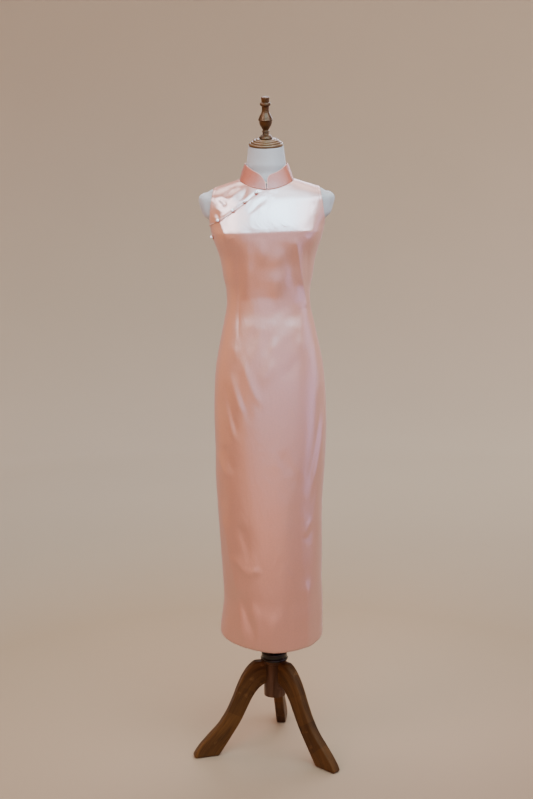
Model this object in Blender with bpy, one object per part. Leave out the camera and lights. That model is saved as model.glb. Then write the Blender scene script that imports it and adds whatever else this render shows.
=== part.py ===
"""A long sleeveless cheongsam in satin, worn by a limbless dress form on a three-legged wooden stand.

Metres, +Z up. The form's column stands on the Z axis of the empty "column". The wearer faces -Y, so the
diagonal opening, on the wearer's right, is at -X. Bearings are degrees round the column from +X, and 270 is
the front.
"""

import math
from collections import namedtuple

import bmesh
import bpy
import numpy as np

# ---- driving dimensions ----
WALL = 0.0012  # satin with its lining
SEAM = 0.0003  # gap left between neighbouring pieces
SURFACE_STEP = 0.005  # used to find the surface's direction at a button
SEAM_NEARNESS = 0.0010  # points this near the plane of the side seams lie on one
FOLD_FADE = 0.016  # folds die out this near the plane of the side seams
UNDERARM_HEIGHT = 1.450
SHOULDER_TIP_HEIGHT = 1.548
NECK_POINT_HEIGHT = 1.571
NECKLINE_FRONT_DROP = 0.030
NECKLINE_BACK_RISE = 0.010
PATCH_HEIGHT = 1.385  # the bodice patches start here, below the bust
UNDERLAP = 0.014  # how far the under panel reaches below the opening's edge
UNDER_SINK = 0.0031  # how much deeper it lies there
UNDER_RISE_HEIGHTS = 0.006, 0.032  # it comes level with its neighbours between these heights over the edge
UNDERLAP_END = 275.0  # the bearing where it ends at the neckline, past the centre front

HEM_HEIGHT = 0.343
HEM_SIDE_RISE = 0.010  # the hem hangs higher on the wearer's right
HEM_FRONT_DROP = 0.0255
HEM_BACK_DROP = 0.005
HEM_FADE = 0.20  # over this height the rows level out
SLIT_TOP_HEIGHT = 0.580
SLIT_GAP_LEFT = 0.008  # at the hem, on the -X side
SLIT_GAP_RIGHT = 0.005

COLLAR_HEIGHT = 0.0370
COLLAR_WALL = 0.0018  # two layers over a stiff interlining
COLLAR_LIFT = 0.0010
COLLAR_TOP_HALF_WIDTH = 0.0565
COLLAR_TOP_FRONT = 0.0615
COLLAR_TOP_BACK = 0.0530
COLLAR_GAP = 1.5  # degrees from the centre front to each end
COLLAR_END_RIGHT = 0.006  # the height of each front end, wearer's right and left
COLLAR_END_LEFT = 0.022
COLLAR_ROUNDING_RIGHT = 25.0  # degrees over which each front end curves down
COLLAR_ROUNDING_LEFT = 12.0
PIPING_WIDTH = 0.0026
PIPING_WALL = 0.0009
PIPING_GAP = 0.0006

PEARL_RADIUS = 0.0040
PEARL_SEGMENTS, PEARL_RINGS = 10, 7
BUTTON_LIFT = 0.0009  # over the cloth, the height of the shank and of the loop round it
LOOP_RADIUS = 0.0044
LOOP_TAIL = 0.0038  # how far the loop stretches down to where it is sewn
LOOP_CORD_RADIUS = 0.0008
LOOP_STEPS, LOOP_CORD_SIDES = 14, 6

TORSO_BOTTOM_HEIGHT = 0.735
TORSO_CLEARANCE = 0.0058  # between the form and the cloth over chest and back
TORSO_CLEARANCE_BELOW = 0.0080  # under the bust, where the cloth folds inwards
UNDER_BUST_HEIGHTS = 1.330, 1.400  # where the one clearance turns into the other
SHOULDER_CLEARANCE = 0.0005  # where the dress hangs on the form
SHOULDER_REST_HEIGHTS = 1.535, 1.545, 1.556, 1.566  # it comes in between the first two and goes after them
SHOULDER_REST_DEPTH = 0.012  # how far from the top of the shoulder, forwards or backwards
NECK_FADE_HEIGHTS = 1.580, 1.605  # above these the table gives the neck itself
STUMP_HEIGHTS = 1.455, 1.480  # and out here the shoulder's end
STUMP_HALF_WIDTHS = 0.150, 0.166
NECK_SLANT_HEIGHT = 1.600
NECK_TOP_HEIGHT = 1.6535
NECK_TOP_Y = -0.0085
CAP_TILT = math.radians(13)

LEG_THICKNESS = 0.027
LEG_ROUNDING = 0.005
LEG_SHARP_ANGLE = math.radians(50)
LEG_BEARINGS = (194, 314, 84)  # degrees round the column: wearer's right, wearer's left, back
HUB_RADIUS = 0.0297
HUB_BOTTOM_HEIGHT = 0.159
HUB_TOP_HEIGHT = 0.2600
HUB_WALL_START = 0.2400  # its side flares above here
CUTTER_OVERRUN = 0.020
BORE_RADIUS = 0.0145
RING_TOP_HEIGHT = 0.2825
POLE_RADIUS = 0.0140
POLE_BOTTOM_HEIGHT = 0.164
POLE_TOP_HEIGHT = 0.719
ROUND_STEPS = 24
FINIAL_STEPS = 18
WELD_DISTANCE = 1e-6
SMOOTH_ANGLE = math.radians(40)

FRONT_COLUMNS, OPENING_COLUMNS, NECKLINE_COLUMNS = 26, 13, 6
BACK_COLUMNS, BACK_SHOULDER_COLUMNS = 20, 6
SKIRT_ROWS, HIP_ROWS, SIDE_ROWS, ARMHOLE_ROWS = 10, 11, 3, 7
UNDER_COLUMNS, UNDER_ROWS = 13, 12
TORSO_COLUMNS = 28
COLLAR_COLUMNS, COLLAR_END_COLUMNS, COLLAR_ROWS = 32, 6, 3
HIP_HEIGHT = 0.98  # rows are closer together above here

# The heights of the form's rings between its bottom and the top of its neck.
TORSO_HEIGHTS = (
    *(0.790, 0.850, 0.910, 0.970, 1.020, 1.070, 1.120, 1.165, 1.205, 1.240, 1.275, 1.310, 1.345),
    *(1.380, 1.405, 1.425, 1.443, 1.460, 1.478, 1.496, 1.510, 1.520, 1.527, 1.533, 1.538, 1.544),
    *(1.551, 1.559, 1.567, 1.576, 1.588, 1.602, 1.620, 1.636),
)

# The dress's outer surface, and the form's neck and shoulder ends beyond it: half widths towards -X and
# +X, depths to the front and back of the column, and the section's power, where 2 is an ellipse and more
# is squarer.
Section = namedtuple("Section", "height left right front back power")
BODY = [
    Section(*row)
    for row in (
        (0.300, 0.1470, 0.1340, 0.112, 0.110, 2.20),
        (0.366, 0.1450, 0.1340, 0.113, 0.110, 2.20),
        (0.411, 0.1385, 0.1350, 0.113, 0.110, 2.20),
        (0.451, 0.1345, 0.1345, 0.112, 0.110, 2.20),
        (0.491, 0.1360, 0.1330, 0.112, 0.110, 2.25),
        (0.573, 0.1400, 0.1350, 0.112, 0.111, 2.25),
        (0.711, 0.1470, 0.1370, 0.112, 0.113, 2.25),
        (0.789, 0.1500, 0.1430, 0.112, 0.116, 2.25),
        (0.849, 0.1490, 0.1475, 0.112, 0.118, 2.25),
        (0.934, 0.1500, 0.1500, 0.111, 0.118, 2.25),
        (1.018, 0.1480, 0.1480, 0.108, 0.114, 2.25),
        (1.078, 0.1430, 0.1430, 0.105, 0.107, 2.20),
        (1.134, 0.1330, 0.1330, 0.100, 0.097, 2.20),
        (1.185, 0.1220, 0.1220, 0.093, 0.087, 2.20),
        (1.233, 0.1120, 0.1120, 0.087, 0.079, 2.20),
        (1.256, 0.1100, 0.1100, 0.085, 0.078, 2.20),
        (1.285, 0.1110, 0.1110, 0.086, 0.080, 2.20),
        (1.314, 0.1170, 0.1170, 0.090, 0.084, 2.25),
        (1.367, 0.1255, 0.1255, 0.101, 0.090, 2.35),
        (1.388, 0.1320, 0.1320, 0.107, 0.093, 2.40),
        (1.411, 0.1400, 0.1400, 0.1135, 0.095, 2.45),
        (1.432, 0.1460, 0.1460, 0.1170, 0.097, 2.50),
        (1.450, 0.1500, 0.1500, 0.1145, 0.098, 2.50),
        (1.476, 0.1650, 0.1640, 0.1065, 0.099, 2.45),
        (1.500, 0.1745, 0.1730, 0.0975, 0.096, 2.40),
        (1.520, 0.1785, 0.1775, 0.0885, 0.090, 2.25),
        (1.530, 0.1735, 0.1725, 0.0835, 0.085, 2.05),
        (1.538, 0.1600, 0.1600, 0.0795, 0.079, 1.90),
        (1.548, 0.1370, 0.1370, 0.0745, 0.072, 1.75),
        (1.560, 0.1010, 0.1010, 0.0690, 0.065, 1.75),
        (1.571, 0.0690, 0.0690, 0.0645, 0.060, 1.90),
        (1.582, 0.0580, 0.0580, 0.0610, 0.055, 2.00),
        (1.600, 0.0525, 0.0525, 0.0570, 0.047, 2.00),
        (1.620, 0.0495, 0.0495, 0.0550, 0.042, 2.00),
        (1.660, 0.0445, 0.0445, 0.0540, 0.037, 2.00),
    )
]

# The armhole's edge, seen from the front.
ArmholeStep = namedtuple("ArmholeStep", "height half_width")
ARMHOLE = [
    ArmholeStep(*row)
    for row in ((1.450, 0.1500), (1.476, 0.1480), (1.502, 0.1450), (1.548, 0.1370))
]

# The opening's edge, from the underarm to the centre front.
OpeningStep = namedtuple("OpeningStep", "bearing height")
OPENING = [
    OpeningStep(*row)
    for row in (
        (180.0, 1.450),
        (197.0, 1.453),
        (212.0, 1.462),
        (225.5, 1.486),
        (237.0, 1.508),
        (251.6, 1.530),
        (270.0, 1.541),
    )
]

# Soft ridges (height over 0) and troughs (under 0) in the cloth, along lines in the front view.
Fold = namedtuple("Fold", "x1 z1 x2 z2 width height")
FRONT_FOLDS = [
    Fold(*row)
    for row in (
        (-0.077, 1.370, -0.082, 1.129, 0.010, -0.0015),  # waist darts
        (0.077, 1.400, 0.099, 1.234, 0.010, -0.0020),
        (0.005, 1.525, -0.046, 1.476, 0.014, -0.0028),  # drag across the chest
        (0.086, 1.250, 0.003, 1.229, 0.012, -0.0025),  # break at the waist
        (-0.093, 1.162, -0.042, 1.004, 0.013, -0.0025),  # hip drags, wearer's right
        (-0.119, 1.079, -0.082, 0.934, 0.013, -0.0030),
        (-0.116, 0.995, -0.088, 0.900, 0.012, 0.0025),
        (-0.134, 1.021, -0.105, 0.879, 0.012, -0.0030),
        (-0.127, 0.873, -0.098, 0.805, 0.013, -0.0030),
        (-0.144, 0.856, -0.112, 0.789, 0.012, 0.0025),
        (0.140, 1.031, 0.093, 0.746, 0.015, -0.0035),  # hip drag, wearer's left
        (0.145, 0.971, 0.108, 0.768, 0.012, 0.0030),
        (-0.134, 0.691, -0.117, 0.570, 0.015, 0.0035),  # the hanging loop of cloth over the knee
        (-0.117, 0.570, -0.075, 0.524, 0.015, 0.0035),
        (-0.075, 0.524, -0.029, 0.543, 0.015, 0.0030),
        (-0.091, 0.670, -0.061, 0.561, 0.020, -0.0030),
        (-0.112, 0.457, -0.077, 0.330, 0.016, 0.0045),  # folds that run out at the hem
        (-0.113, 0.496, -0.043, 0.349, 0.014, 0.0020),
        (-0.010, 0.450, -0.010, 0.320, 0.018, 0.0025),
        (0.089, 0.520, 0.089, 0.330, 0.018, 0.0045),
        (0.108, 0.680, 0.081, 0.630, 0.014, 0.0020),
    )
]
BACK_FOLDS = [
    Fold(*row)
    for row in (
        (-0.062, 1.372, -0.058, 1.120, 0.010, -0.0018),  # waist darts
        (0.062, 1.372, 0.058, 1.120, 0.010, -0.0018),
        (-0.085, 1.262, 0.015, 1.252, 0.011, -0.0025),  # breaks at the small of the back
        (0.080, 1.240, -0.010, 1.228, 0.011, -0.0022),
        (0.132, 1.050, 0.082, 0.900, 0.014, -0.0030),  # hip drags
        (-0.132, 1.030, -0.085, 0.850, 0.014, -0.0030),
        (0.135, 0.930, 0.100, 0.800, 0.013, 0.0028),
        (-0.060, 0.780, -0.095, 0.480, 0.018, 0.0035),  # hanging folds of the skirt
        (0.070, 0.700, 0.090, 0.340, 0.018, 0.0040),
        (-0.020, 0.560, -0.030, 0.330, 0.018, 0.0030),
        (-0.105, 0.460, -0.095, 0.330, 0.015, 0.0035),
    )
]

# Buttons along the opening: how far round from the front each lies, and how far below the edge.
Button = namedtuple("Button", "bearing height")
BUTTONS = [
    Button(*row)
    for row in (
        (251.6, 1.5330),
        (237.1, 1.5110),
        (225.5, 1.4890),
        (212.0, 1.4650),
        (196.0, 1.4240),
    )
]

# A leg's outline, as its upper and lower edges seen from the side, from hub to toe.
LegStep = namedtuple("LegStep", "reach height")
LEG_TOP = [
    LegStep(*row)
    for row in (
        (0.024, 0.2560),
        (0.038, 0.2590),
        (0.052, 0.2590),
        (0.070, 0.2480),
        (0.088, 0.2260),
        (0.104, 0.1960),
        (0.119, 0.1600),
        (0.137, 0.1230),
        (0.161, 0.0880),
        (0.189, 0.0600),
        (0.214, 0.0340),
        (0.231, 0.0110),
    )
]
LEG_UNDER = [
    LegStep(*row)
    for row in (
        (0.165, 0.0000),
        (0.147, 0.0250),
        (0.125, 0.0570),
        (0.102, 0.0920),
        (0.082, 0.1300),
        (0.066, 0.1600),
        (0.048, 0.1830),
        (0.034, 0.1930),
        (0.024, 0.1970),
    )
]
TOE_REACH = 0.2340
TOE_HEIGHT = 0.0030

# Turned profiles, as radius and distance. The finial's is measured down from its tip along its own axis.
Turning = namedtuple("Turning", "radius along")
FINIAL = [
    Turning(*row)
    for row in (
        (0.0090, 0.0000),
        (0.0110, 0.0015),
        (0.0106, 0.0065),
        (0.0094, 0.0120),
        (0.0130, 0.0135),
        (0.0142, 0.0170),
        (0.0128, 0.0205),
        (0.0098, 0.0230),
        (0.0090, 0.0325),
        (0.0112, 0.0405),
        (0.0150, 0.0475),
        (0.0187, 0.0550),
        (0.0172, 0.0585),
        (0.0168, 0.0605),
        (0.0152, 0.0695),
        (0.0116, 0.0765),
        (0.0074, 0.0815),
        (0.0102, 0.0837),
        (0.0082, 0.0870),
        (0.0086, 0.0905),
        (0.0078, 0.0935),
        (0.0135, 0.0980),
        (0.0170, 0.1035),
        (0.0165, 0.1062),
    )
]
NECK_CAP = [
    Turning(*row)
    for row in (
        (0.0225, 0.0000),
        (0.0240, 0.0015),
        (0.0245, 0.0030),
        (0.0300, 0.0035),
        (0.0315, 0.0055),
        (0.0315, 0.0065),
        (0.0365, 0.0070),
        (0.0382, 0.0090),
        (0.0382, 0.0100),
        (0.0425, 0.0105),
        (0.0442, 0.0130),
        (0.0442, 0.0155),
        (0.0425, 0.0175),
    )
]
NECK_CAP_HEIGHT = 0.0175
FINIAL_LENGTH = 0.1062

HUB = [
    Turning(*row)
    for row in (
        (BORE_RADIUS, HUB_BOTTOM_HEIGHT),
        (0.0265, HUB_BOTTOM_HEIGHT),
        (0.0290, 0.1610),
        (HUB_RADIUS, 0.1640),
        (HUB_RADIUS, 0.2440),
        (0.0312, 0.2510),
        (0.0348, 0.2565),
        (0.0352, HUB_TOP_HEIGHT),
        (BORE_RADIUS, HUB_TOP_HEIGHT),
    )
]
CLAMP_RING = [
    Turning(*row)
    for row in (
        (BORE_RADIUS, HUB_TOP_HEIGHT + SEAM),
        (0.0352, HUB_TOP_HEIGHT + SEAM),
        (0.0374, 0.2618),
        (0.0380, 0.2640),
        (0.0370, 0.2664),
        (0.0350, 0.2674),
        (0.0352, 0.2700),
        (0.0352, 0.2785),
        (0.0335, 0.2815),
        (0.0240, RING_TOP_HEIGHT),
        (BORE_RADIUS, RING_TOP_HEIGHT),
    )
]
BASE_PLATE = [
    Turning(*row)
    for row in (
        (0.0000, POLE_TOP_HEIGHT + 0.0005),
        (BORE_RADIUS, POLE_TOP_HEIGHT + 0.0005),
        (BORE_RADIUS, 0.7000),
        (0.0240, 0.7000),
        (0.0240, 0.7215),
        (0.0260, 0.7230),
        (0.0700, 0.7230),
        (0.0715, 0.7245),
        (0.0715, 0.7335),
        (0.0700, TORSO_BOTTOM_HEIGHT - SEAM),
        (0.0000, TORSO_BOTTOM_HEIGHT - SEAM),
    )
]

# Name: colour, roughness, metallic.
FINISHES = {
    "satin": ((0.80, 0.45, 0.40), 0.35, 0.0),
    "piping": ((0.86, 0.62, 0.58), 0.35, 0.0),
    "pearl": ((0.90, 0.88, 0.84), 0.20, 0.0),
    "loop_cord": ((0.62, 0.30, 0.25), 0.60, 0.0),
    "form_cover": ((0.80, 0.80, 0.79), 0.85, 0.0),
    "dark_wood": ((0.09, 0.045, 0.028), 0.45, 0.0),
    "cap_wood": ((0.20, 0.11, 0.06), 0.35, 0.0),
    "pole_steel": ((0.05, 0.04, 0.04), 0.40, 0.6),
}


# ---- curves and surfaces ----
def smooth_curve(steps, along, value):
    """A curve through a table's rows that never overshoots them (monotone cubic)."""
    x = np.array([getattr(step, along) for step in steps])
    y = np.array([getattr(step, value) for step in steps])
    rise = np.diff(y) / np.diff(x)
    slope = np.concatenate([rise[:1], (rise[:-1] + rise[1:]) / 2, rise[-1:]])
    for i, r in enumerate(rise):
        if i and rise[i - 1] * r <= 0:
            slope[i] = 0.0
        limit = 3 * abs(r)
        slope[i] = np.clip(slope[i], -limit, limit)
        slope[i + 1] = np.clip(slope[i + 1], -limit, limit)

    def at(where):
        where = np.clip(where, x[0], x[-1])
        i = np.clip(np.searchsorted(x, where) - 1, 0, len(rise) - 1)
        step = x[i + 1] - x[i]
        t = (where - x[i]) / step
        start = y[i] * (1 + 2 * t) * (1 - t) ** 2 + slope[i] * step * t * (1 - t) ** 2
        return start + y[i + 1] * t * t * (3 - 2 * t) + slope[i + 1] * step * t * t * (t - 1)

    return at


SECTION_AT = {field: smooth_curve(BODY, "height", field) for field in Section._fields[1:]}
ARMHOLE_HALF_WIDTH = smooth_curve(ARMHOLE, "height", "half_width")
OPENING_HEIGHT = smooth_curve(OPENING, "bearing", "height")


def soft_step(low, high, value):
    t = np.clip((value - low) / (high - low), 0.0, 1.0)
    return t * t * (3 - 2 * t)


def fold_height(x, z, folds):
    """How far the folds lift points of the front view. Each fades out across its line and past its ends."""
    lift = np.zeros(np.broadcast(x, z).shape)
    for fold in folds:
        run, rise = fold.x2 - fold.x1, fold.z2 - fold.z1
        t = ((x - fold.x1) * run + (z - fold.z1) * rise) / (run * run + rise * rise)
        t = np.clip(t, 0.0, 1.0)
        away = np.hypot(x - fold.x1 - t * run, z - fold.z1 - t * rise)
        lift += fold.height * np.exp(-((away / fold.width) ** 2))
    return lift


def body_radius(bearing, height):
    """Distance from the column to the dress's surface, without folds."""
    across, deep = np.cos(np.radians(bearing)), np.sin(np.radians(bearing))
    half_width = np.where(across < 0, SECTION_AT["left"](height), SECTION_AT["right"](height))
    depth = np.where(deep < 0, SECTION_AT["front"](height), SECTION_AT["back"](height))
    power = SECTION_AT["power"](height)
    return (np.abs(across / half_width) ** power + np.abs(deep / depth) ** power) ** (-1 / power)


def body_point(bearing, height):
    radius = body_radius(bearing, height)
    turn = np.radians(bearing)
    return np.stack([radius * np.cos(turn), radius * np.sin(turn), height + 0 * radius], axis=-1)


def grid_normals(grid):
    """Unit normals of a grid of points, away from the column."""
    across = np.gradient(grid, axis=1)
    along = np.gradient(grid, axis=0)
    normals = np.cross(across, along)
    normals /= np.linalg.norm(normals, axis=2, keepdims=True)
    middle = tuple(size // 2 for size in grid.shape[:2])
    outward = grid[middle] * (1, 1, 0)
    return normals if normals[middle] @ outward > 0 else -normals


def folded(grid, folds):
    """The grid with its folds raised along its normals. They die out at the side seams."""
    lift = fold_height(grid[..., 0], grid[..., 2], folds) * soft_step(0.0, FOLD_FADE, np.abs(grid[..., 1]))
    return grid + grid_normals(grid) * lift[..., None]


def line(start, end, steps):
    """Evenly spaced (bearing, height) pairs, without the last."""
    return [tuple(np.add(start, np.subtract(end, start) * i / steps)) for i in range(steps)]


def patch(bottom, top, left, right):
    """A grid of (bearing, height) pairs between four edges that share their corners (a Coons patch)."""
    bottom, top, left, right = (np.array(edge) for edge in (bottom, top, left, right))
    u = np.linspace(0, 1, len(bottom))[None, :, None]
    v = np.linspace(0, 1, len(left))[:, None, None]
    ruled = (1 - v) * bottom[None] + v * top[None] + (1 - u) * left[:, None] + u * right[:, None]
    corners = (1 - u) * (1 - v) * bottom[0] + u * (1 - v) * bottom[-1]
    return ruled - corners - (1 - u) * v * top[0] - u * v * top[-1]


# ---- edges of the dress, as (bearing, height) pairs ----
def seam_bearing(side, towards, height, gap=0.0):
    """The bearing of a side edge: side is 180 or 0, and towards is +1 or -1, the way to turn off the seam."""
    radius = body_radius(side, height)
    return side + towards * math.degrees((SEAM / 2 + gap / 2) / radius)


def slit_gap(side, height):
    widest = SLIT_GAP_LEFT if side == 180 else SLIT_GAP_RIGHT
    return widest * max(0.0, (SLIT_TOP_HEIGHT - height) / (SLIT_TOP_HEIGHT - HEM_HEIGHT)) ** 1.5


def armhole_edge(side, towards, steps):
    """From the underarm to the shoulder tip."""
    edge = []
    for i in range(steps + 1):
        share = (1 - math.cos(math.pi * i / steps)) / 2
        height = UNDERARM_HEIGHT + (SHOULDER_TIP_HEIGHT - UNDERARM_HEIGHT) * share
        half_width = SECTION_AT["left"](height)
        depth = SECTION_AT["front" if (side == 180) == (towards > 0) else "back"](height)
        power = SECTION_AT["power"](height)
        reach = min(1.0, float(ARMHOLE_HALF_WIDTH(height) / half_width))
        deep = depth * (1 - reach**power) ** (1 / power)
        turn = math.degrees(math.atan2(deep, reach * half_width))
        least = seam_bearing(side, towards, height) - side
        edge.append((side + towards * max(turn, abs(least)), height))
    return edge


def neckline_height(bearing):
    turn = math.sin(math.radians(bearing))
    change = -NECKLINE_FRONT_DROP if turn < 0 else NECKLINE_BACK_RISE
    return NECK_POINT_HEIGHT + change * turn * turn


def hem_height(bearing):
    across, deep = np.cos(np.radians(bearing)), np.sin(np.radians(bearing))
    drop = np.where(deep < 0, HEM_FRONT_DROP * -deep, HEM_BACK_DROP * deep)
    return HEM_HEIGHT + HEM_SIDE_RISE * np.maximum(-across, 0.0) - drop


SKIRT_HEIGHTS = np.concatenate(
    [
        np.linspace(HEM_HEIGHT, HIP_HEIGHT, SKIRT_ROWS, endpoint=False),
        np.linspace(HIP_HEIGHT, PATCH_HEIGHT, HIP_ROWS + 1),
    ]
)


def skirt_rows(bearings, side_towards):
    """The grid of (bearing, height) pairs from the hem to the bodice patch, opening at the slits."""
    rows = []
    for height in SKIRT_HEIGHTS:
        sides = [
            seam_bearing(side, towards, height, slit_gap(side % 360, height))
            for side, towards in side_towards
        ]
        share = (bearings - bearings[0]) / (bearings[-1] - bearings[0])
        turned = sides[0] + (sides[1] - sides[0]) * share
        fade = max(0.0, 1 - (height - HEM_HEIGHT) / HEM_FADE) ** 2
        rows.append(np.stack([turned, height + (hem_height(turned) - HEM_HEIGHT) * fade], axis=-1))
    return np.array(rows)


def panel_points(domain, folds):
    return folded(body_point(domain[..., 0], domain[..., 1]), folds)


def front_grid():
    """The large front: its top edge is the opening, the neckline and the wearer's left shoulder."""
    bearings = np.linspace(180, 360, FRONT_COLUMNS + 1)
    skirt = skirt_rows(bearings, ((180, 1), (360, -1)))
    left_foot, right_foot = skirt[-1, 0], skirt[-1, -1]
    underarm_left = (seam_bearing(180, 1, UNDERARM_HEIGHT), UNDERARM_HEIGHT)
    left = line(left_foot, underarm_left, SIDE_ROWS + ARMHOLE_ROWS) + [underarm_left]
    armhole = armhole_edge(360, -1, ARMHOLE_ROWS)
    right = line(right_foot, armhole[0], SIDE_ROWS) + armhole
    neck_side = (360 + seam_bearing(0, -1, NECK_POINT_HEIGHT), NECK_POINT_HEIGHT)
    top = [
        (bearing, float(OPENING_HEIGHT(bearing)))
        for bearing in np.linspace(underarm_left[0], 270, OPENING_COLUMNS + 1)
    ]
    top += [
        (bearing, neckline_height(bearing))
        for bearing in np.linspace(270, neck_side[0], NECKLINE_COLUMNS + 1)[1:]
    ]
    shoulder_columns = FRONT_COLUMNS - OPENING_COLUMNS - NECKLINE_COLUMNS
    top += line(neck_side, armhole[-1], shoulder_columns)[1:] + [armhole[-1]]
    bodice = patch(skirt[-1], top, left, right)
    return np.concatenate([skirt, bodice[1:]])


def back_grid():
    bearings = np.linspace(180, 0, BACK_COLUMNS + 1)
    skirt = skirt_rows(bearings, ((180, -1), (0, 1)))
    armhole_left = armhole_edge(180, -1, ARMHOLE_ROWS)
    armhole_right = armhole_edge(0, 1, ARMHOLE_ROWS)
    left = line(skirt[-1, 0], armhole_left[0], SIDE_ROWS) + armhole_left
    right = line(skirt[-1, -1], armhole_right[0], SIDE_ROWS) + armhole_right
    neck_left = (seam_bearing(180, -1, NECK_POINT_HEIGHT), NECK_POINT_HEIGHT)
    neck_right = (seam_bearing(0, 1, NECK_POINT_HEIGHT), NECK_POINT_HEIGHT)
    top = line(armhole_left[-1], neck_left, BACK_SHOULDER_COLUMNS)
    neckline_columns = BACK_COLUMNS - 2 * BACK_SHOULDER_COLUMNS
    top += [
        (bearing, neckline_height(bearing))
        for bearing in np.linspace(neck_left[0], neck_right[0], neckline_columns + 1)
    ]
    top += line(neck_right, armhole_right[-1], BACK_SHOULDER_COLUMNS)[1:] + [armhole_right[-1]]
    bodice = patch(skirt[-1], top, left, right)
    return np.concatenate([skirt, bodice[1:]])


def under_grid():
    """The small front under the opening, from its hidden edge up to the wearer's right shoulder."""
    armhole = armhole_edge(180, 1, UNDER_ROWS - 2)
    neck_side = (seam_bearing(180, 1, NECK_POINT_HEIGHT), NECK_POINT_HEIGHT)

    def hidden(bearing):
        return float(OPENING_HEIGHT(min(bearing, 270.0))) - UNDERLAP

    bottom = [
        (bearing, hidden(bearing))
        for bearing in np.linspace(armhole[0][0], UNDERLAP_END, UNDER_COLUMNS + 1)
    ]
    top = line(armhole[-1], neck_side, UNDER_COLUMNS) + [neck_side]
    left = line(bottom[0], armhole[0], 2) + armhole
    neck_front = (UNDERLAP_END, neckline_height(UNDERLAP_END))
    neckline = [
        (bearing, neckline_height(bearing))
        for bearing in np.linspace(UNDERLAP_END, neck_side[0], UNDER_ROWS - 1)
    ]
    right = line(bottom[-1], neck_front, 2) + neckline
    return patch(bottom, top, left, right)


def sunk(points, domain):
    """The under panel's points, moved in near the opening so that the large front lies over them."""
    above_edge = domain[..., 1] - OPENING_HEIGHT(np.minimum(domain[..., 0], 270.0))
    depth = UNDER_SINK * (1 - soft_step(*UNDER_RISE_HEIGHTS, above_edge))
    return points - grid_normals(points) * depth[..., None]


# ---- making objects ----
def finish(name):
    material = bpy.data.materials.get(name)
    if material:
        return material
    colour, roughness, metallic = FINISHES[name]
    material = bpy.data.materials.new(name)
    material.use_nodes = True
    shader = material.node_tree.nodes["Principled BSDF"]
    shader.inputs["Base Color"].default_value = (*colour, 1.0)
    shader.inputs["Roughness"].default_value = roughness
    shader.inputs["Metallic"].default_value = metallic
    return material


def bmesh_object(name, shape, material, parent):
    bmesh.ops.recalc_face_normals(shape, faces=shape.faces)
    mesh = bpy.data.meshes.new(name)
    shape.to_mesh(mesh)
    shape.free()
    mesh.materials.append(finish(material))
    mesh.shade_smooth()
    mesh.set_sharp_from_angle(angle=SMOOTH_ANGLE)
    obj = bpy.data.objects.new(name, mesh)
    bpy.context.collection.objects.link(obj)
    obj.parent = parent
    return obj


def cloth(name, outer, inner, material, parent):
    """A closed wall between two grids of points."""
    rows, columns = outer.shape[:2]
    shape = bmesh.new()
    sides = [
        [[shape.verts.new(point) for point in row] for row in grid] for grid in (outer, inner)
    ]
    for side in sides:
        for i in range(rows - 1):
            for j in range(columns - 1):
                shape.faces.new((side[i][j], side[i][j + 1], side[i + 1][j + 1], side[i + 1][j]))
    rim = [(0, j) for j in range(columns)] + [(i, columns - 1) for i in range(1, rows)]
    rim += [(rows - 1, j) for j in range(columns - 2, -1, -1)]
    rim += [(i, 0) for i in range(rows - 2, 0, -1)]
    for (i, j), (k, m) in zip(rim, rim[1:] + rim[:1]):
        shape.faces.new((sides[0][i][j], sides[0][k][m], sides[1][k][m], sides[1][i][j]))
    return bmesh_object(name, shape, material, parent)


def wall_behind(grid, wall):
    """The inner face. An edge that runs along a side or shoulder seam stays square to the seam's plane."""
    normals = grid_normals(grid)
    normals[..., 1] *= np.abs(grid[..., 1]) > SEAM_NEARNESS
    normals /= np.linalg.norm(normals, axis=2, keepdims=True)
    return grid - normals * wall


def turned(name, profile, material, parent, centre=(0, 0, 0), lean=0.0, steps=ROUND_STEPS):
    """A piece turned on a lathe: its profile, as points of radius and height, spun round its own axis."""
    shape = bmesh.new()
    points = [shape.verts.new((max(step.radius, 0.0), 0.0, step.along)) for step in profile]
    edges = [shape.edges.new(pair) for pair in zip(points, points[1:] + points[:1])]
    bmesh.ops.spin(
        shape,
        geom=points + edges,
        cent=(0, 0, 0),
        axis=(0, 0, 1),
        angle=math.tau,
        steps=steps,
        use_merge=True,
    )
    bmesh.ops.remove_doubles(shape, verts=shape.verts, dist=WELD_DISTANCE)
    loose = [edge for edge in shape.edges if not edge.link_faces]
    bmesh.ops.delete(shape, geom=loose, context="EDGES")
    obj = bmesh_object(name, shape, material, parent)
    obj.location = centre
    obj.rotation_euler.x = lean
    return obj


# ---- the dress ----
def make_dress(parent):
    front = front_grid()
    front_points = panel_points(front, FRONT_FOLDS)
    cloth("front_panel", front_points, wall_behind(front_points, WALL), "satin", parent)

    back_points = panel_points(back_grid(), BACK_FOLDS)
    cloth("back_panel", back_points, wall_behind(back_points, WALL), "satin", parent)

    under = under_grid()
    under_points = sunk(panel_points(under, FRONT_FOLDS), under)
    cloth("under_panel", under_points, wall_behind(under_points, WALL), "satin", parent)


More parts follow.
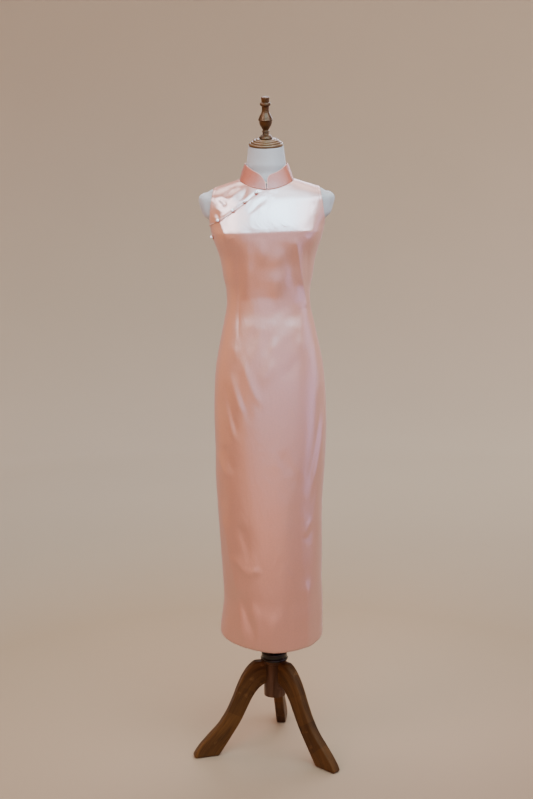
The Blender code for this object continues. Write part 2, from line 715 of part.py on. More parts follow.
def collar_grid():
    """The collar's outer face, from its end on the wearer's right round the neck to its other end."""
    starts = 270 - COLLAR_GAP, 270 + COLLAR_GAP - 360
    rounded = COLLAR_END_COLUMNS
    bearings = np.concatenate(
        [
            np.linspace(starts[0], starts[0] - COLLAR_ROUNDING_RIGHT, rounded, endpoint=False),
            np.linspace(
                starts[0] - COLLAR_ROUNDING_RIGHT,
                starts[1] + COLLAR_ROUNDING_LEFT,
                COLLAR_COLUMNS - 2 * rounded,
            ),
            np.linspace(starts[1] + COLLAR_ROUNDING_LEFT, starts[1], rounded + 1)[1:],
        ]
    )
    grid = []
    for bearing in bearings:
        base = body_point(bearing, neckline_height(bearing % 360))
        base[2] += COLLAR_LIFT
        turn = math.radians(bearing)
        depth = COLLAR_TOP_FRONT if math.sin(turn) < 0 else COLLAR_TOP_BACK
        top = np.array([COLLAR_TOP_HALF_WIDTH * math.cos(turn), depth * math.sin(turn), 0.0])
        top[2] = base[2] + COLLAR_HEIGHT
        from_end = min(starts[0] - bearing, bearing - starts[1])
        on_right = bearing > 90
        rounding = COLLAR_ROUNDING_RIGHT if on_right else COLLAR_ROUNDING_LEFT
        share = min(1.0, from_end / rounding)
        end_share = (COLLAR_END_RIGHT if on_right else COLLAR_END_LEFT) / COLLAR_HEIGHT
        reach = end_share + (1 - end_share) * math.sqrt(1 - (1 - share) ** 2)
        grid.append([base + (top - base) * reach * i / COLLAR_ROWS for i in range(COLLAR_ROWS + 1)])
    return np.array(grid).transpose(1, 0, 2)


def make_collar(parent):
    outer = collar_grid()
    cloth("collar", outer, wall_behind(outer, COLLAR_WALL), "satin", parent)
    normals = grid_normals(outer)
    edge, below = outer[-1], outer[-2]
    down = below - edge
    down /= np.linalg.norm(down, axis=1, keepdims=True)
    strip = np.stack([edge + down * PIPING_WIDTH, edge])
    raised = np.stack([normals[-1], normals[-1]])
    inner = strip + raised * PIPING_GAP
    cloth("collar_piping", inner + raised * PIPING_WALL, inner, "piping", parent)


def surface_frame(bearing, height):
    """A point of the large front, the normal there, and the way down the cloth, square to the opening."""
    bearings, heights = np.meshgrid((bearing, bearing + 1), (height, height + SURFACE_STEP))
    near = body_point(bearings, heights)
    spot, normal = near[0, 0], grid_normals(near)[0, 0]
    rise = OPENING_HEIGHT(bearing + 1) - OPENING_HEIGHT(bearing)
    edge = near[0, 1] - spot + (near[1, 0] - spot) * rise / SURFACE_STEP
    down = np.cross(edge, normal)
    down /= np.linalg.norm(down)
    lift = fold_height(spot[0], spot[2], FRONT_FOLDS)
    return spot + normal * lift, normal, down if down[2] < 0 else -down


def cord_ring(name, path, normals, radius, sides, material, parent):
    """A closed round cord along a path of points."""
    shape = bmesh.new()
    rings = []
    for i, point in enumerate(path):
        ahead = path[(i + 1) % len(path)] - path[i - 1]
        across = np.cross(ahead, normals)
        across /= np.linalg.norm(across)
        turns = [math.tau * k / sides for k in range(sides)]
        rings.append(
            [shape.verts.new(point + radius * (math.cos(t) * across + math.sin(t) * normals)) for t in turns]
        )
    for i, ring in enumerate(rings):
        after = rings[(i + 1) % len(rings)]
        for k in range(sides):
            m = (k + 1) % sides
            shape.faces.new((ring[k], ring[m], after[m], after[k]))
    bmesh_object(name, shape, material, parent)


def make_buttons(parent):
    """Pearls along the opening, each held by a small drop-shaped loop of cord sewn to the large front."""
    for number, button in enumerate(BUTTONS, 1):
        spot, normal, down = surface_frame(button.bearing, button.height)
        pearl = bmesh.new()
        segments = {"u_segments": PEARL_SEGMENTS, "v_segments": PEARL_RINGS}
        bmesh.ops.create_uvsphere(pearl, radius=PEARL_RADIUS, **segments)
        obj = bmesh_object(f"pearl_button_{number}", pearl, "pearl", parent)
        obj.location = spot + normal * (BUTTON_LIFT + PEARL_RADIUS)
        across = np.cross(down, normal)
        path = []
        for i in range(LOOP_STEPS):
            turn = math.tau * i / LOOP_STEPS
            below = max(0.0, math.cos(turn))
            offset = across * math.sin(turn) * LOOP_RADIUS
            offset = offset + down * (math.cos(turn) * LOOP_RADIUS + below * below * LOOP_TAIL)
            path.append(spot + offset + normal * (BUTTON_LIFT + LOOP_CORD_RADIUS / 2))
        cord_ring(
            f"button_loop_{number}", path, normal, LOOP_CORD_RADIUS, LOOP_CORD_SIDES, "loop_cord", parent
        )


def form_clearance(surface):
    """How far inside the dress's outer surface the form lies."""
    x, y, z = np.moveaxis(surface, -1, 0)
    low, high = UNDER_BUST_HEIGHTS
    clearance = TORSO_CLEARANCE_BELOW + (TORSO_CLEARANCE - TORSO_CLEARANCE_BELOW) * soft_step(low, high, z)
    start, full, ending, gone = SHOULDER_REST_HEIGHTS
    resting = soft_step(start, full, z) * (1 - soft_step(ending, gone, z))
    resting *= np.exp(-((y / SHOULDER_REST_DEPTH) ** 2))
    clearance = clearance + (SHOULDER_CLEARANCE - clearance) * resting
    stump = soft_step(*STUMP_HEIGHTS, z) * soft_step(*STUMP_HALF_WIDTHS, np.abs(x))
    return (WALL + clearance) * (1 - soft_step(*NECK_FADE_HEIGHTS, z)) * (1 - stump)


def make_torso(parent):
    """The form: the dress's surface moved in, with closed shoulder ends and a neck cut at a slant."""
    bearings = np.arange(-1, TORSO_COLUMNS + 1) * 360 / TORSO_COLUMNS
    surface = body_point(*np.meshgrid(bearings, (TORSO_BOTTOM_HEIGHT, *TORSO_HEIGHTS, NECK_TOP_HEIGHT)))
    rings = (surface - grid_normals(surface) * form_clearance(surface)[..., None])[:, 1:-1]
    rings[0, :, 2] = TORSO_BOTTOM_HEIGHT
    slant = soft_step(NECK_SLANT_HEIGHT, NECK_TOP_HEIGHT, rings[..., 2])
    rings[..., 2] += slant * math.tan(CAP_TILT) * (rings[..., 1] - NECK_TOP_Y)
    shape = bmesh.new()
    loops = [[shape.verts.new(point) for point in ring] for ring in rings]
    for low, high in zip(loops, loops[1:]):
        for j in range(TORSO_COLUMNS):
            k = (j + 1) % TORSO_COLUMNS
            shape.faces.new((low[j], low[k], high[k], high[j]))
    shape.faces.new(loops[0])
    shape.faces.new(loops[-1])
    bmesh_object("form_torso", shape, "form_cover", parent)


def cap_place(up):
    """A point on the slanted axis of the neck's top, so far up it."""
    return (0.0, NECK_TOP_Y - math.sin(CAP_TILT) * up, NECK_TOP_HEIGHT + math.cos(CAP_TILT) * up)


def make_cap(parent):
    def upright(profile, length):
        points = [Turning(step.radius, length - step.along) for step in profile]
        return [Turning(0.0, length - profile[0].along)] + points + [Turning(0.0, 0.0)]

    turned("neck_cap", upright(NECK_CAP, NECK_CAP_HEIGHT), "cap_wood", parent, cap_place(SEAM), CAP_TILT)
    seat = cap_place(NECK_CAP_HEIGHT + 2 * SEAM)
    turned("finial", upright(FINIAL, FINIAL_LENGTH), "dark_wood", parent, seat, CAP_TILT, FINIAL_STEPS)


# ---- the stand ----
def make_leg(number, bearing, cutter, parent):
    outline = [(step.reach, step.height) for step in LEG_TOP]
    outline += [(TOE_REACH, TOE_HEIGHT), (TOE_REACH - TOE_HEIGHT, 0.0)]
    outline += [(step.reach, step.height) for step in LEG_UNDER]
    shape = bmesh.new()
    side = shape.faces.new([shape.verts.new((x, -LEG_THICKNESS / 2, z)) for x, z in outline])
    grown = bmesh.ops.extrude_face_region(shape, geom=[side])
    moved = [part for part in grown["geom"] if isinstance(part, bmesh.types.BMVert)]
    bmesh.ops.translate(shape, verts=moved, vec=(0, LEG_THICKNESS, 0))
    obj = bmesh_object(f"leg_{number}", shape, "dark_wood", parent)
    obj.rotation_euler.z = math.radians(bearing)
    edge = obj.modifiers.new("rounded_edges", "BEVEL")
    edge.width = LEG_ROUNDING
    edge.segments = 2
    edge.angle_limit = LEG_SHARP_ANGLE
    cut = obj.modifiers.new("hub_seat", "BOOLEAN")
    cut.object = cutter
    cut.solver = "EXACT"


def make_stand(parent):
    turned("hub", HUB, "dark_wood", parent)
    turned("clamp_ring", CLAMP_RING, "dark_wood", parent)
    low, high = HUB_BOTTOM_HEIGHT - CUTTER_OVERRUN, HUB_TOP_HEIGHT + CUTTER_OVERRUN
    side = [step for step in HUB if step.along >= HUB_WALL_START and step.radius > BORE_RADIUS]
    seat = [Turning(0.0, low), Turning(HUB_RADIUS + SEAM, low)]
    seat += [Turning(step.radius + SEAM, step.along) for step in side]
    seat += [Turning(side[-1].radius + SEAM, high), Turning(0.0, high)]
    cutter = turned("hub_seat_cutter", seat, "dark_wood", parent)
    cutter.hide_render = True
    cutter.display_type = "WIRE"
    for number, bearing in enumerate(LEG_BEARINGS, 1):
        make_leg(number, bearing, cutter, parent)


def make_pole(parent):
    ends = ((0.0, POLE_BOTTOM_HEIGHT), (POLE_RADIUS, POLE_BOTTOM_HEIGHT), (POLE_RADIUS, POLE_TOP_HEIGHT))
    profile = [Turning(*end) for end in ends] + [Turning(0.0, POLE_TOP_HEIGHT)]
    turned("pole", profile, "pole_steel", parent)


def add_empty(name, parent=None):
    empty = bpy.data.objects.new(name, None)
    bpy.context.collection.objects.link(empty)
    empty.parent = parent
    return empty


def centre_footprint(column):
    """Moves the column so that the middle of everything's box stands on the world's origin."""
    bpy.context.view_layer.update()
    graph = bpy.context.evaluated_depsgraph_get()
    corners = []
    for obj in bpy.data.objects:
        if obj.type == "MESH" and not obj.hide_render:
            mesh = obj.evaluated_get(graph).data
            corners += [tuple(obj.matrix_world @ vertex.co) for vertex in mesh.vertices]
    middle = (np.min(corners, axis=0) + np.max(corners, axis=0)) / 2
    column.location = (-middle[0], -middle[1], 0.0)


def main():
    for obj in list(bpy.data.objects):
        bpy.data.objects.remove(obj, do_unlink=True)
    column = add_empty("column")
    slide = add_empty("height_slide", column)
    swivel = add_empty("form_swivel", slide)
    make_stand(column)
    make_pole(slide)
    turned("base_plate", BASE_PLATE, "pole_steel", swivel)
    make_torso(swivel)
    make_cap(swivel)
    make_dress(swivel)
    make_collar(swivel)
    make_buttons(swivel)
    centre_footprint(column)


main()
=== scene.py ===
# A long sleeveless satin cheongsam on a limbless dress form with a wooden tripod stand.
# Lengths are metres. Bearings are degrees round the form's column from +X, and 270 is the front.
import math

import bpy
import numpy as np
from mathutils import Matrix, Vector


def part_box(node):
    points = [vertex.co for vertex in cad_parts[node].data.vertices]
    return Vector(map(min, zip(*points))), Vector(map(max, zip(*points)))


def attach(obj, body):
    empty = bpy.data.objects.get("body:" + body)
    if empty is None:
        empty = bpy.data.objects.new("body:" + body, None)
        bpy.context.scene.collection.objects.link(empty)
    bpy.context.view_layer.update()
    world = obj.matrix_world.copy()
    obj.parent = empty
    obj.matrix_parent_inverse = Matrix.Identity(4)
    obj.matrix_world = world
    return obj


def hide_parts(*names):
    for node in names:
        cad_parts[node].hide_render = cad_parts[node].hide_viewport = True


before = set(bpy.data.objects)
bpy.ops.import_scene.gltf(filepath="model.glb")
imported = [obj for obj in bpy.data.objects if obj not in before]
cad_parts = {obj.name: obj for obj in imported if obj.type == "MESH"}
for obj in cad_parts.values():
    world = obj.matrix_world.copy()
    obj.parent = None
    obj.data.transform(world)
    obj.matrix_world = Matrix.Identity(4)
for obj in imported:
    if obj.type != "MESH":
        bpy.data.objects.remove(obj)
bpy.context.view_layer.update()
bpy.ops.object.select_all(action="DESELECT")
poleLow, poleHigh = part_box("pole")
column = np.array([(poleLow[0] + poleHigh[0]) / 2, (poleLow[1] + poleHigh[1]) / 2, 0.0])
print("frame loaded with", len(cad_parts), "solids, column at", column)

# camera, at standing eye height; its turns are degrees
cameraSettings = {
    "right": -0.0096,
    "distance": 3.30,
    "height": 1.52,
    "pitchDown": 9.17,
    "roll": -0.968,
    "lens": 56.23,
    "sensor": 36.0,
}


def makeCamera():
    s = cameraSettings
    data = bpy.data.cameras.new("camera")
    data.lens = s["lens"]
    data.sensor_width = s["sensor"]
    cam = bpy.data.objects.new("camera", data)
    bpy.context.scene.collection.objects.link(cam)
    place = Vector((column[0] + s["right"], column[1] - s["distance"], s["height"]))
    turn = Matrix.Rotation(math.radians(90 - s["pitchDown"]), 4, "X")
    roll = Matrix.Rotation(math.radians(s["roll"]), 4, "Z")
    cam.matrix_world = Matrix.Translation(place) @ turn @ roll
    bpy.context.scene.camera = cam


makeCamera()

# lights: cool softboxes above the front for the chest, soft lavender ones for the waist and the right
# side, warm ones low down and at the left, one pair for the back, and washes for the walls
lightSettings = {
    # place and aim from the column's foot, size, power, colour, spread in degrees
    "key": ((0.3, -1.9, 2.85), (0, 0, 1.45), (3.6, 1.1), 27.5, (0.47, 0.78, 1.0), 70),
    "keyHigh": ((0.5, -0.8, 3.0), (0, 0, 1.5), (3.0, 1.8), 20.5, (0.62, 0.83, 1.0), 80),
    "upLeft": ((-1.8, -1.5, 2.75), (0, 0, 1.45), (1.6, 1.1), 15.0, (1.0, 0.84, 0.88), 90),
    "upRight": ((2.0, -1.4, 2.75), (0, 0, 1.45), (1.6, 1.1), 11.5, (0.84, 0.85, 1.0), 90),
    "front": ((0.7, -4.1, 2.05), (0, 0, 1.2), (5.0, 2.6), 13.0, (0.45, 0.46, 1.0), 180),
    "windowRight": ((2.4, -0.8, 0.65), (0, 0, 1.1), (1.2, 1.0), 5.0, (0.55, 0.5, 1.0), 180),
    "rimRight": ((2.5, 0.1, 1.5), (0, 0, 1.3), (1.0, 1.1), 4.5, (0.62, 0.58, 1.0), 180),
    "lampLeft": ((-2.6, 0.4, 1.1), (0, 0, 0.9), (2.4, 2.4), 5.4, (1.0, 0.31, 0.05), 180),
    "lowWide": ((0.5, -2.4, 0.82), (0, 0, 0.95), (4.0, 1.1), 7.6, (0.5, 0.56, 1.0), 180),
    "lowFront": ((-0.3, -1.9, 0.2), (0, 0, 0.5), (2.2, 0.4), 0.8, (1.0, 0.28, 0.12), 90),
    "frontLeft": ((-2.3, -2.3, 0.75), (0, 0, 0.9), (1.6, 1.5), 3.9, (1.0, 0.30, 0.11), 180),
    "overhead": ((-0.1, 0.9, 3.4), (0, 0, 1.5), (3.0, 1.2), 16.0, (1.0, 0.86, 0.86), 90),
    "backKey": ((1.0, 2.8, 2.7), (0, 0, 1.2), (2.4, 1.2), 13.0, (0.82, 0.84, 1.0), 80),
    "washLeft": ((-3.2, 1.0, 3.8), (-6.6, 2.2, 0.9), (4.0, 1.0), 60.0, (1.0, 0.60, 0.30), 150),
    "washRight": ((3.2, 1.0, 3.8), (6.6, 2.2, 0.9), (4.0, 1.0), 50.0, (0.92, 0.88, 1.0), 150),
    "washFront": ((0.0, -3.0, 3.8), (0.0, -6.6, 0.9), (5.0, 1.0), 60.0, (1.0, 0.94, 0.90), 150),
    "backdrop": ((1.2, 1.9, 3.3), (1.0, 5.6, 0.3), (5.0, 1.6), 120.0, (1.0, 0.95, 0.88), 180),
}
worldSettings = {"colour": (1.0, 0.64, 0.50), "strength": 0.2}


def makeLights():
    for name, (place, aim, size, power, colour, spread) in lightSettings.items():
        data = bpy.data.lights.new(name, "AREA")
        data.shape = "RECTANGLE"
        data.size, data.size_y = size
        data.energy = power
        data.color = colour
        data.spread = math.radians(spread)
        light = bpy.data.objects.new(name, data)
        bpy.context.scene.collection.objects.link(light)
        light.location = Vector(place) + Vector(column)
        light.rotation_euler = (Vector(aim) - Vector(place)).to_track_quat("-Z", "Y").to_euler()
        light.visible_camera = False
    world = bpy.data.worlds.new("studio")
    world.use_nodes = True
    background = world.node_tree.nodes["Background"]
    background.inputs["Color"].default_value = (*worldSettings["colour"], 1.0)
    background.inputs["Strength"].default_value = worldSettings["strength"]
    bpy.context.scene.world = world


makeLights()
print("camera and lights ready")


# shader groups and the nodes that they are made of
def newGroup(name, inputs, outputs):
    group = bpy.data.node_groups.new(name, "ShaderNodeTree")
    for label, kind, value in inputs:
        socket = group.interface.new_socket(label, in_out="INPUT", socket_type="NodeSocket" + kind)
        if value is not None:
            socket.default_value = value
    for label, kind in outputs:
        group.interface.new_socket(label, in_out="OUTPUT", socket_type="NodeSocket" + kind)
    return group, group.nodes.new("NodeGroupInput"), group.nodes.new("NodeGroupOutput")


def feed(tree, socket, value):
    # value is another node's output, a colour without its alpha, or a plain value
    if isinstance(value, bpy.types.NodeSocket):
        tree.links.new(value, socket)
    elif socket.type == "RGBA":
        socket.default_value = (*value, 1.0)
    else:
        socket.default_value = value


def addNode(tree, kind, values=None):
    # values are for the node's sockets or for its own settings
    node = tree.nodes.new("ShaderNode" + kind)
    for key, value in (values or {}).items():
        if key in node.inputs:
            feed(tree, node.inputs[key], value)
        else:
            setattr(node, key, value)
    return node


def mathNode(tree, operation, first, second=0.5, clamp=False):
    node = addNode(tree, "Math", {"operation": operation, "use_clamp": clamp})
    feed(tree, node.inputs[0], first)
    feed(tree, node.inputs[1], second)
    return node.outputs[0]


def timesNode(tree, first, second):
    return mathNode(tree, "MULTIPLY", first, second)


def mixColour(tree, factor, first, second):
    # the colour mix's factor and colours are its sockets 0, 6 and 7
    node = addNode(tree, "Mix", {"data_type": "RGBA"})
    for slot, value in ((0, factor), (6, first), (7, second)):
        feed(tree, node.inputs[slot], value)
    return node.outputs[2]


def noiseNode(tree, place, scale, detail=2.0, roughness=0.5, distortion=0.0):
    values = {"Vector": place, "Scale": scale, "Detail": detail, "Roughness": roughness}
    return addNode(tree, "TexNoise", {**values, "Distortion": distortion}).outputs["Fac"]


def rangeNode(tree, value, low, high, toLow=0.0, toHigh=1.0):
    values = {"Value": value, "From Min": low, "From Max": high, "To Min": toLow, "To Max": toHigh}
    return addNode(tree, "MapRange", values).outputs[0]


def cutPlace(tree):
    return addNode(tree, "UVMap", {"uv_map": "cut"}).outputs[0]


def objectPlace(tree):
    return addNode(tree, "TexCoord").outputs["Object"]


def makeThreadGroup():
    # woven threads: long floats along the cloth's length, each row of them shifted
    group, start, end = newGroup(
        "threads",
        [("Place", "Vector", None), ("Threads", "Float", 900.0)],
        [("Height", "Float"), ("Shade", "Float")],
    )
    place = start.outputs["Place"]
    turned = addNode(group, "Mapping", {"Vector": place, "Rotation": (0, 0, math.radians(90))})
    bricks = addNode(
        group, "TexBrick",
        {
            "Vector": turned.outputs[0], "Scale": start.outputs["Threads"], "offset": 0.4,
            "Mortar Size": 0.06, "Mortar Smooth": 0.8, "Brick Width": 2.6, "Row Height": 0.5,
        },
    )
    feed(group, end.inputs["Height"], mathNode(group, "SUBTRACT", 1.0, bricks.outputs["Fac"]))
    feed(group, end.inputs["Shade"], noiseNode(group, place, 220.0))
    return group


def makeCrumpleGroup():
    # soft creases of handled cloth, drawn out along its length
    group, start, end = newGroup(
        "crumple",
        [("Place", "Vector", None), ("Size", "Float", 20.0)],
        [("Height", "Float")],
    )
    place, size = start.outputs["Place"], start.outputs["Size"]
    drawn = addNode(group, "Mapping", {"Vector": place, "Scale": (1.0, 0.42, 1.0), "Rotation": (0, 0, 0.5)})
    broad = noiseNode(group, drawn.outputs[0], size, 3.0, 0.45, 0.6)
    fine = noiseNode(group, drawn.outputs[0], timesNode(group, size, 4.3), 2.0, 0.5, 0.2)
    feed(group, end.inputs["Height"], mathNode(group, "ADD", broad, timesNode(group, fine, 0.22)))
    return group


def makeGrainGroup():
    # stained wood: streaks and dark pores along the first axis of Place, in boards joined end to end
    group, start, end = newGroup(
        "grain",
        [
            ("Place", "Vector", None),
            ("Dark", "Color", (0.02, 0.01, 0.006, 1)),
            ("Light", "Color", (0.1, 0.05, 0.03, 1)),
            ("Boards", "Float", 0.0),
        ],
        [("Colour", "Color"), ("Rough", "Float"), ("Height", "Float")],
    )
    dark = start.outputs["Dark"]
    streaks, pores, blocks = (
        addNode(group, "Mapping", {"Vector": start.outputs["Place"], "Scale": scale}).outputs[0]
        for scale in ((2.2, 26.0, 26.0), (18.0, 420.0, 420.0), (13.0, 2.0, 2.0))
    )
    wavy = noiseNode(group, streaks, 1.0, 5.0, 0.62, 1.1)
    streak = rangeNode(group, wavy, 0.33, 0.68)
    pore = rangeNode(group, noiseNode(group, pores, 1.0), 0.56, 0.72)
    along = addNode(group, "SeparateXYZ", {"Vector": blocks}).outputs[0]
    board = addNode(group, "TexWhiteNoise", {"noise_dimensions": "1D", "W": mathNode(group, "FLOOR", along)})
    uneven = mathNode(group, "SUBTRACT", board.outputs["Value"], 0.5)
    shift = timesNode(group, uneven, start.outputs["Boards"])
    tone = mathNode(group, "ADD", timesNode(group, streak, 0.85), shift, clamp=True)
    stained = mixColour(group, tone, dark, start.outputs["Light"])
    feed(group, end.inputs["Colour"], mixColour(group, timesNode(group, pore, 0.65), stained, dark))
    rough = mathNode(group, "ADD", timesNode(group, pore, 0.25), timesNode(group, streak, -0.08))
    feed(group, end.inputs["Rough"], mathNode(group, "ADD", rough, 0.42))
    height = mathNode(group, "ADD", timesNode(group, pore, -1.0), timesNode(group, wavy, 0.5))
    feed(group, end.inputs["Height"], height)
    return group


threadGroup = makeThreadGroup()
crumpleGroup = makeCrumpleGroup()
grainGroup = makeGrainGroup()


# materials
def newMaterial(name, values):
    material = bpy.data.materials.new(name)
    material.use_nodes = True
    tree = material.node_tree
    shader = tree.nodes["Principled BSDF"]
    for key, value in values.items():
        feed(tree, shader.inputs[key], value)
    material.diffuse_color = (*values["Base Color"], 1.0)
    return material, tree, shader


def useGroup(tree, group, values):
    return addNode(tree, "Group", {"node_tree": group, **values})


def tint(tree, shader, tone, dark, light):
    feed(tree, shader.inputs["Base Color"], mixColour(tree, tone, dark, light))


def bumpChain(tree, shader, *layers):
    # layers are (height socket, distance, strength), the broadest first
    normal = None
    for height, distance, strength in layers:
        bump = addNode(tree, "Bump", {"Height": height, "Distance": distance, "Strength": strength})
        if normal:
            feed(tree, bump.inputs["Normal"], normal)
        normal = bump.outputs["Normal"]
    feed(tree, shader.inputs["Normal"], normal)


satinSettings = {
    # each satin's colour, deeper colour, roughness and index of refraction
    "dressSatin": ((0.50, 0.154, 0.077), (0.44, 0.133, 0.065), 0.31, 2.35),
    # the collar is cut from the dress's own satin; its darker colours here are painted shade, so a band that
    # tilts up into the lights stays dark
    "shadedCollarSatin": ((0.33, 0.068, 0.026), (0.29, 0.056, 0.021), 0.38, 1.43),
    "pipingSatin": ((0.52, 0.20, 0.13), (0.46, 0.16, 0.10), 0.40, 1.7),
    "loopCord": ((0.42, 0.085, 0.035), (0.32, 0.060, 0.025), 0.5, 1.5),
    # what all of them share
    "anisotropy": 0.25,
    "sheen": 0.12,
    "creases": (22.0, 79.2),
    "threads": 1400.0,
    "bumps": ((0.0026, 0.6), (0.0005, 0.6), (0.00003, 0.25)),
}


def makeSatin(name):
    s = satinSettings
    base, deep, roughness, indexOfRefraction = s[name]
    material, tree, shader = newMaterial(
        name,
        {
            "Base Color": base, "Roughness": roughness,
            "IOR": indexOfRefraction, "Specular IOR Level": 1.0, "Anisotropic": s["anisotropy"],
            "Sheen Weight": s["sheen"], "Sheen Roughness": 0.5, "Sheen Tint": (0.95, 0.88, 0.94),
        },
    )
    cut = cutPlace(tree)
    threads = useGroup(tree, threadGroup, {"Threads": s["threads"], "Place": cut})
    creases = [useGroup(tree, crumpleGroup, {"Size": size, "Place": cut}) for size in s["creases"]]
    tint(tree, shader, rangeNode(tree, threads.outputs["Shade"], 0.35, 0.65), deep, base)
    gloss = mathNode(tree, "ADD", timesNode(tree, threads.outputs["Shade"], 0.10), roughness - 0.05)
    feed(tree, shader.inputs["Roughness"], gloss)
    heights = [node.outputs["Height"] for node in (*creases, threads)]
    bumpChain(tree, shader, *((height, *bump) for height, bump in zip(heights, s["bumps"])))
    return material


satin, shadedCollarSatin, pipingSatin, loopCord = (
    makeSatin(name) for name in ("dressSatin", "shadedCollarSatin", "pipingSatin", "loopCord")
)


def makeLining():
    material, tree, shader = newMaterial("lining", {"Base Color": (0.78, 0.56, 0.50), "Roughness": 0.7})
    cut = cutPlace(tree)
    threads = useGroup(tree, threadGroup, {"Threads": 1100.0, "Place": cut})
    crumple = useGroup(tree, crumpleGroup, {"Size": 16.0, "Place": cut})
    tone = rangeNode(tree, threads.outputs["Shade"], 0.35, 0.65)
    tint(tree, shader, tone, (0.72, 0.49, 0.43), (0.80, 0.59, 0.53))
    wrinkles = crumple.outputs["Height"], 0.002, 0.5
    bumpChain(tree, shader, wrinkles, (threads.outputs["Height"], 0.00005, 0.4))
    return material


def makeThread():
    values = {"Base Color": (0.74, 0.38, 0.32), "Roughness": 0.5, "Sheen Weight": 0.3}
    material, tree, shader = newMaterial("sewingThread", values)
    twist = noiseNode(tree, objectPlace(tree), 2600.0, 1.0)
    tint(tree, shader, twist, (0.66, 0.31, 0.25), (0.80, 0.45, 0.38))
    bumpChain(tree, shader, (twist, 0.0001, 0.6))
    return material


coverSettings = {"light": (0.36, 0.322, 0.292), "shade": (0.33, 0.296, 0.268), "roughness": 0.82}


def makeFormCover():
    # knitted cotton over the form
    s = coverSettings
    values = {"Base Color": s["light"], "Roughness": s["roughness"], "Sheen Weight": 0.25}
    material, tree, shader = newMaterial("formCover", {**values, "Sheen Roughness": 0.5})
    cut = cutPlace(tree)
    knit, rows = (
        addNode(
            tree, "TexWave",
            {"Vector": cut, "Scale": scale, "Distortion": distortion, "Detail": 1.0, "bands_direction": axis},
        )
        for scale, distortion, axis in ((260.0, 3.0, "X"), (330.0, 2.0, "Y"))
    )
    cloud = noiseNode(tree, cut, 9.0, 4.0)
    tint(tree, shader, rangeNode(tree, cloud, 0.3, 0.7), s["shade"], s["light"])
    stitches = timesNode(tree, knit.outputs["Fac"], rows.outputs["Fac"])
    bumpChain(tree, shader, (cloud, 0.001, 0.3), (stitches, 0.00012, 0.5))
    return material


lining = makeLining()
sewingThread = makeThread()
formCover = makeFormCover()


woodSettings = {
    # dark and light stain, boards' unevenness, coat, coat roughness, specular level, where the grain is read
    "legWood": ((0.028, 0.012, 0.005), (0.140, 0.058, 0.016), 0.25, 0.0, 0.40, 0.15, "board"),
    "hubWood": ((0.028, 0.010, 0.004), (0.165, 0.082, 0.044), 0.0, 0.0, 0.35, 0.25, "Object"),
    "finialWood": ((0.010, 0.0035, 0.001), (0.066, 0.021, 0.004), 0.0, 0.06, 0.24, 0.5, "Object"),
    "capWood": ((0.030, 0.012, 0.003), (0.120, 0.050, 0.012), 0.0, 0.22, 0.24, 0.9, "Object"),
}


def makeWood(name):
    dark, light, boards, coat, coatRoughness, specular, source = woodSettings[name]
    material, tree, shader = newMaterial(
        name,
        {
            "Base Color": light, "Roughness": 0.45, "Specular IOR Level": specular,
            "Specular Tint": (1.0, 0.72, 0.45), "Coat Weight": coat, "Coat Roughness": coatRoughness,
        },
    )
    if source == "Object":
        values = {"Vector": objectPlace(tree), "Rotation": (0, math.radians(90), 0)}
        where = addNode(tree, "Mapping", values).outputs[0]
    else:
        where = addNode(tree, "Attribute", {"attribute_name": source}).outputs["Vector"]
    grain = useGroup(tree, grainGroup, {"Dark": dark, "Light": light, "Boards": boards, "Place": where})
    rub = rangeNode(tree, noiseNode(tree, where, 34.0, 6.0, 0.7), 0.60, 0.78, 0.0, 0.5)
    paler = tuple(min(1.0, value * 1.9 + 0.012) for value in light)
    tint(tree, shader, rub, grain.outputs["Colour"], paler)
    feed(tree, shader.inputs["Roughness"], grain.outputs["Rough"])
    bumpChain(tree, shader, (grain.outputs["Height"], 0.0004, 0.5))
    return material


legWood, hubWood, finialWood, capWood = (makeWood(name) for name in woodSettings)


def makeLacquer(name, colour, roughness, metallic, coat):
    # smeared lacquer, paint or polished metal
    values = {"Base Color": colour, "Roughness": roughness, "Metallic": metallic, "Coat Weight": coat}
    material, tree, shader = newMaterial(name, {**values, "Coat Roughness": 0.12})
    smear = noiseNode(tree, objectPlace(tree), 60.0, 5.0, 0.6)
    uneven = rangeNode(tree, smear, 0.3, 0.7, roughness * 0.8, roughness * 1.35)
    feed(tree, shader.inputs["Roughness"], uneven)
    tint(tree, shader, smear, colour, tuple(min(1.0, value * 1.5) for value in colour))
    bumpChain(tree, shader, (smear, 0.0001, 0.25))
    return material


ringLacquer = makeLacquer("ringLacquer", (0.0015, 0.0006, 0.0003), 0.18, 0.0, 0.0)
polePaint = makeLacquer("polePaint", (0.035, 0.026, 0.022), 0.35, 0.6, 0.3)
hookMetal = makeLacquer("hookMetal", (0.80, 0.62, 0.42), 0.28, 1.0, 0.0)


def makePearl():
    material, tree, shader = newMaterial(
        "pearlSkin",
        {
            "Base Color": (0.90, 0.89, 0.87), "Roughness": 0.22, "Coat Weight": 0.7, "Coat Roughness": 0.08,
            "Subsurface Weight": 0.15, "Subsurface Scale": 0.001,
        },
    )
    rim = addNode(tree, "LayerWeight", {"Blend": 0.35})
    tint(tree, shader, rim.outputs["Facing"], (0.93, 0.92, 0.91), (0.80, 0.74, 0.78))
    bumpChain(tree, shader, (noiseNode(tree, objectPlace(tree), 900.0), 0.00005, 0.4))
    return material


pearl = makePearl()
print("materials ready")

# the studio floor, which curves up into a wall all round
floorSettings = {
    "radius": 4.0,
    "sides": 96,
    "curve": 3.0,
    "curveSteps": 16,
    "wall": 6.0,
    "floor": (0.37, 0.25, 0.145),
    "paint": (0.72, 0.62, 0.50),
    "blend": (1.2, 4.2),  # the distances between which the floor's colour turns into the wall's
    "cloudShade": 0.95,
}


def editAll():
    bpy.ops.object.mode_set(mode="EDIT")
    bpy.ops.mesh.select_all(action="SELECT")


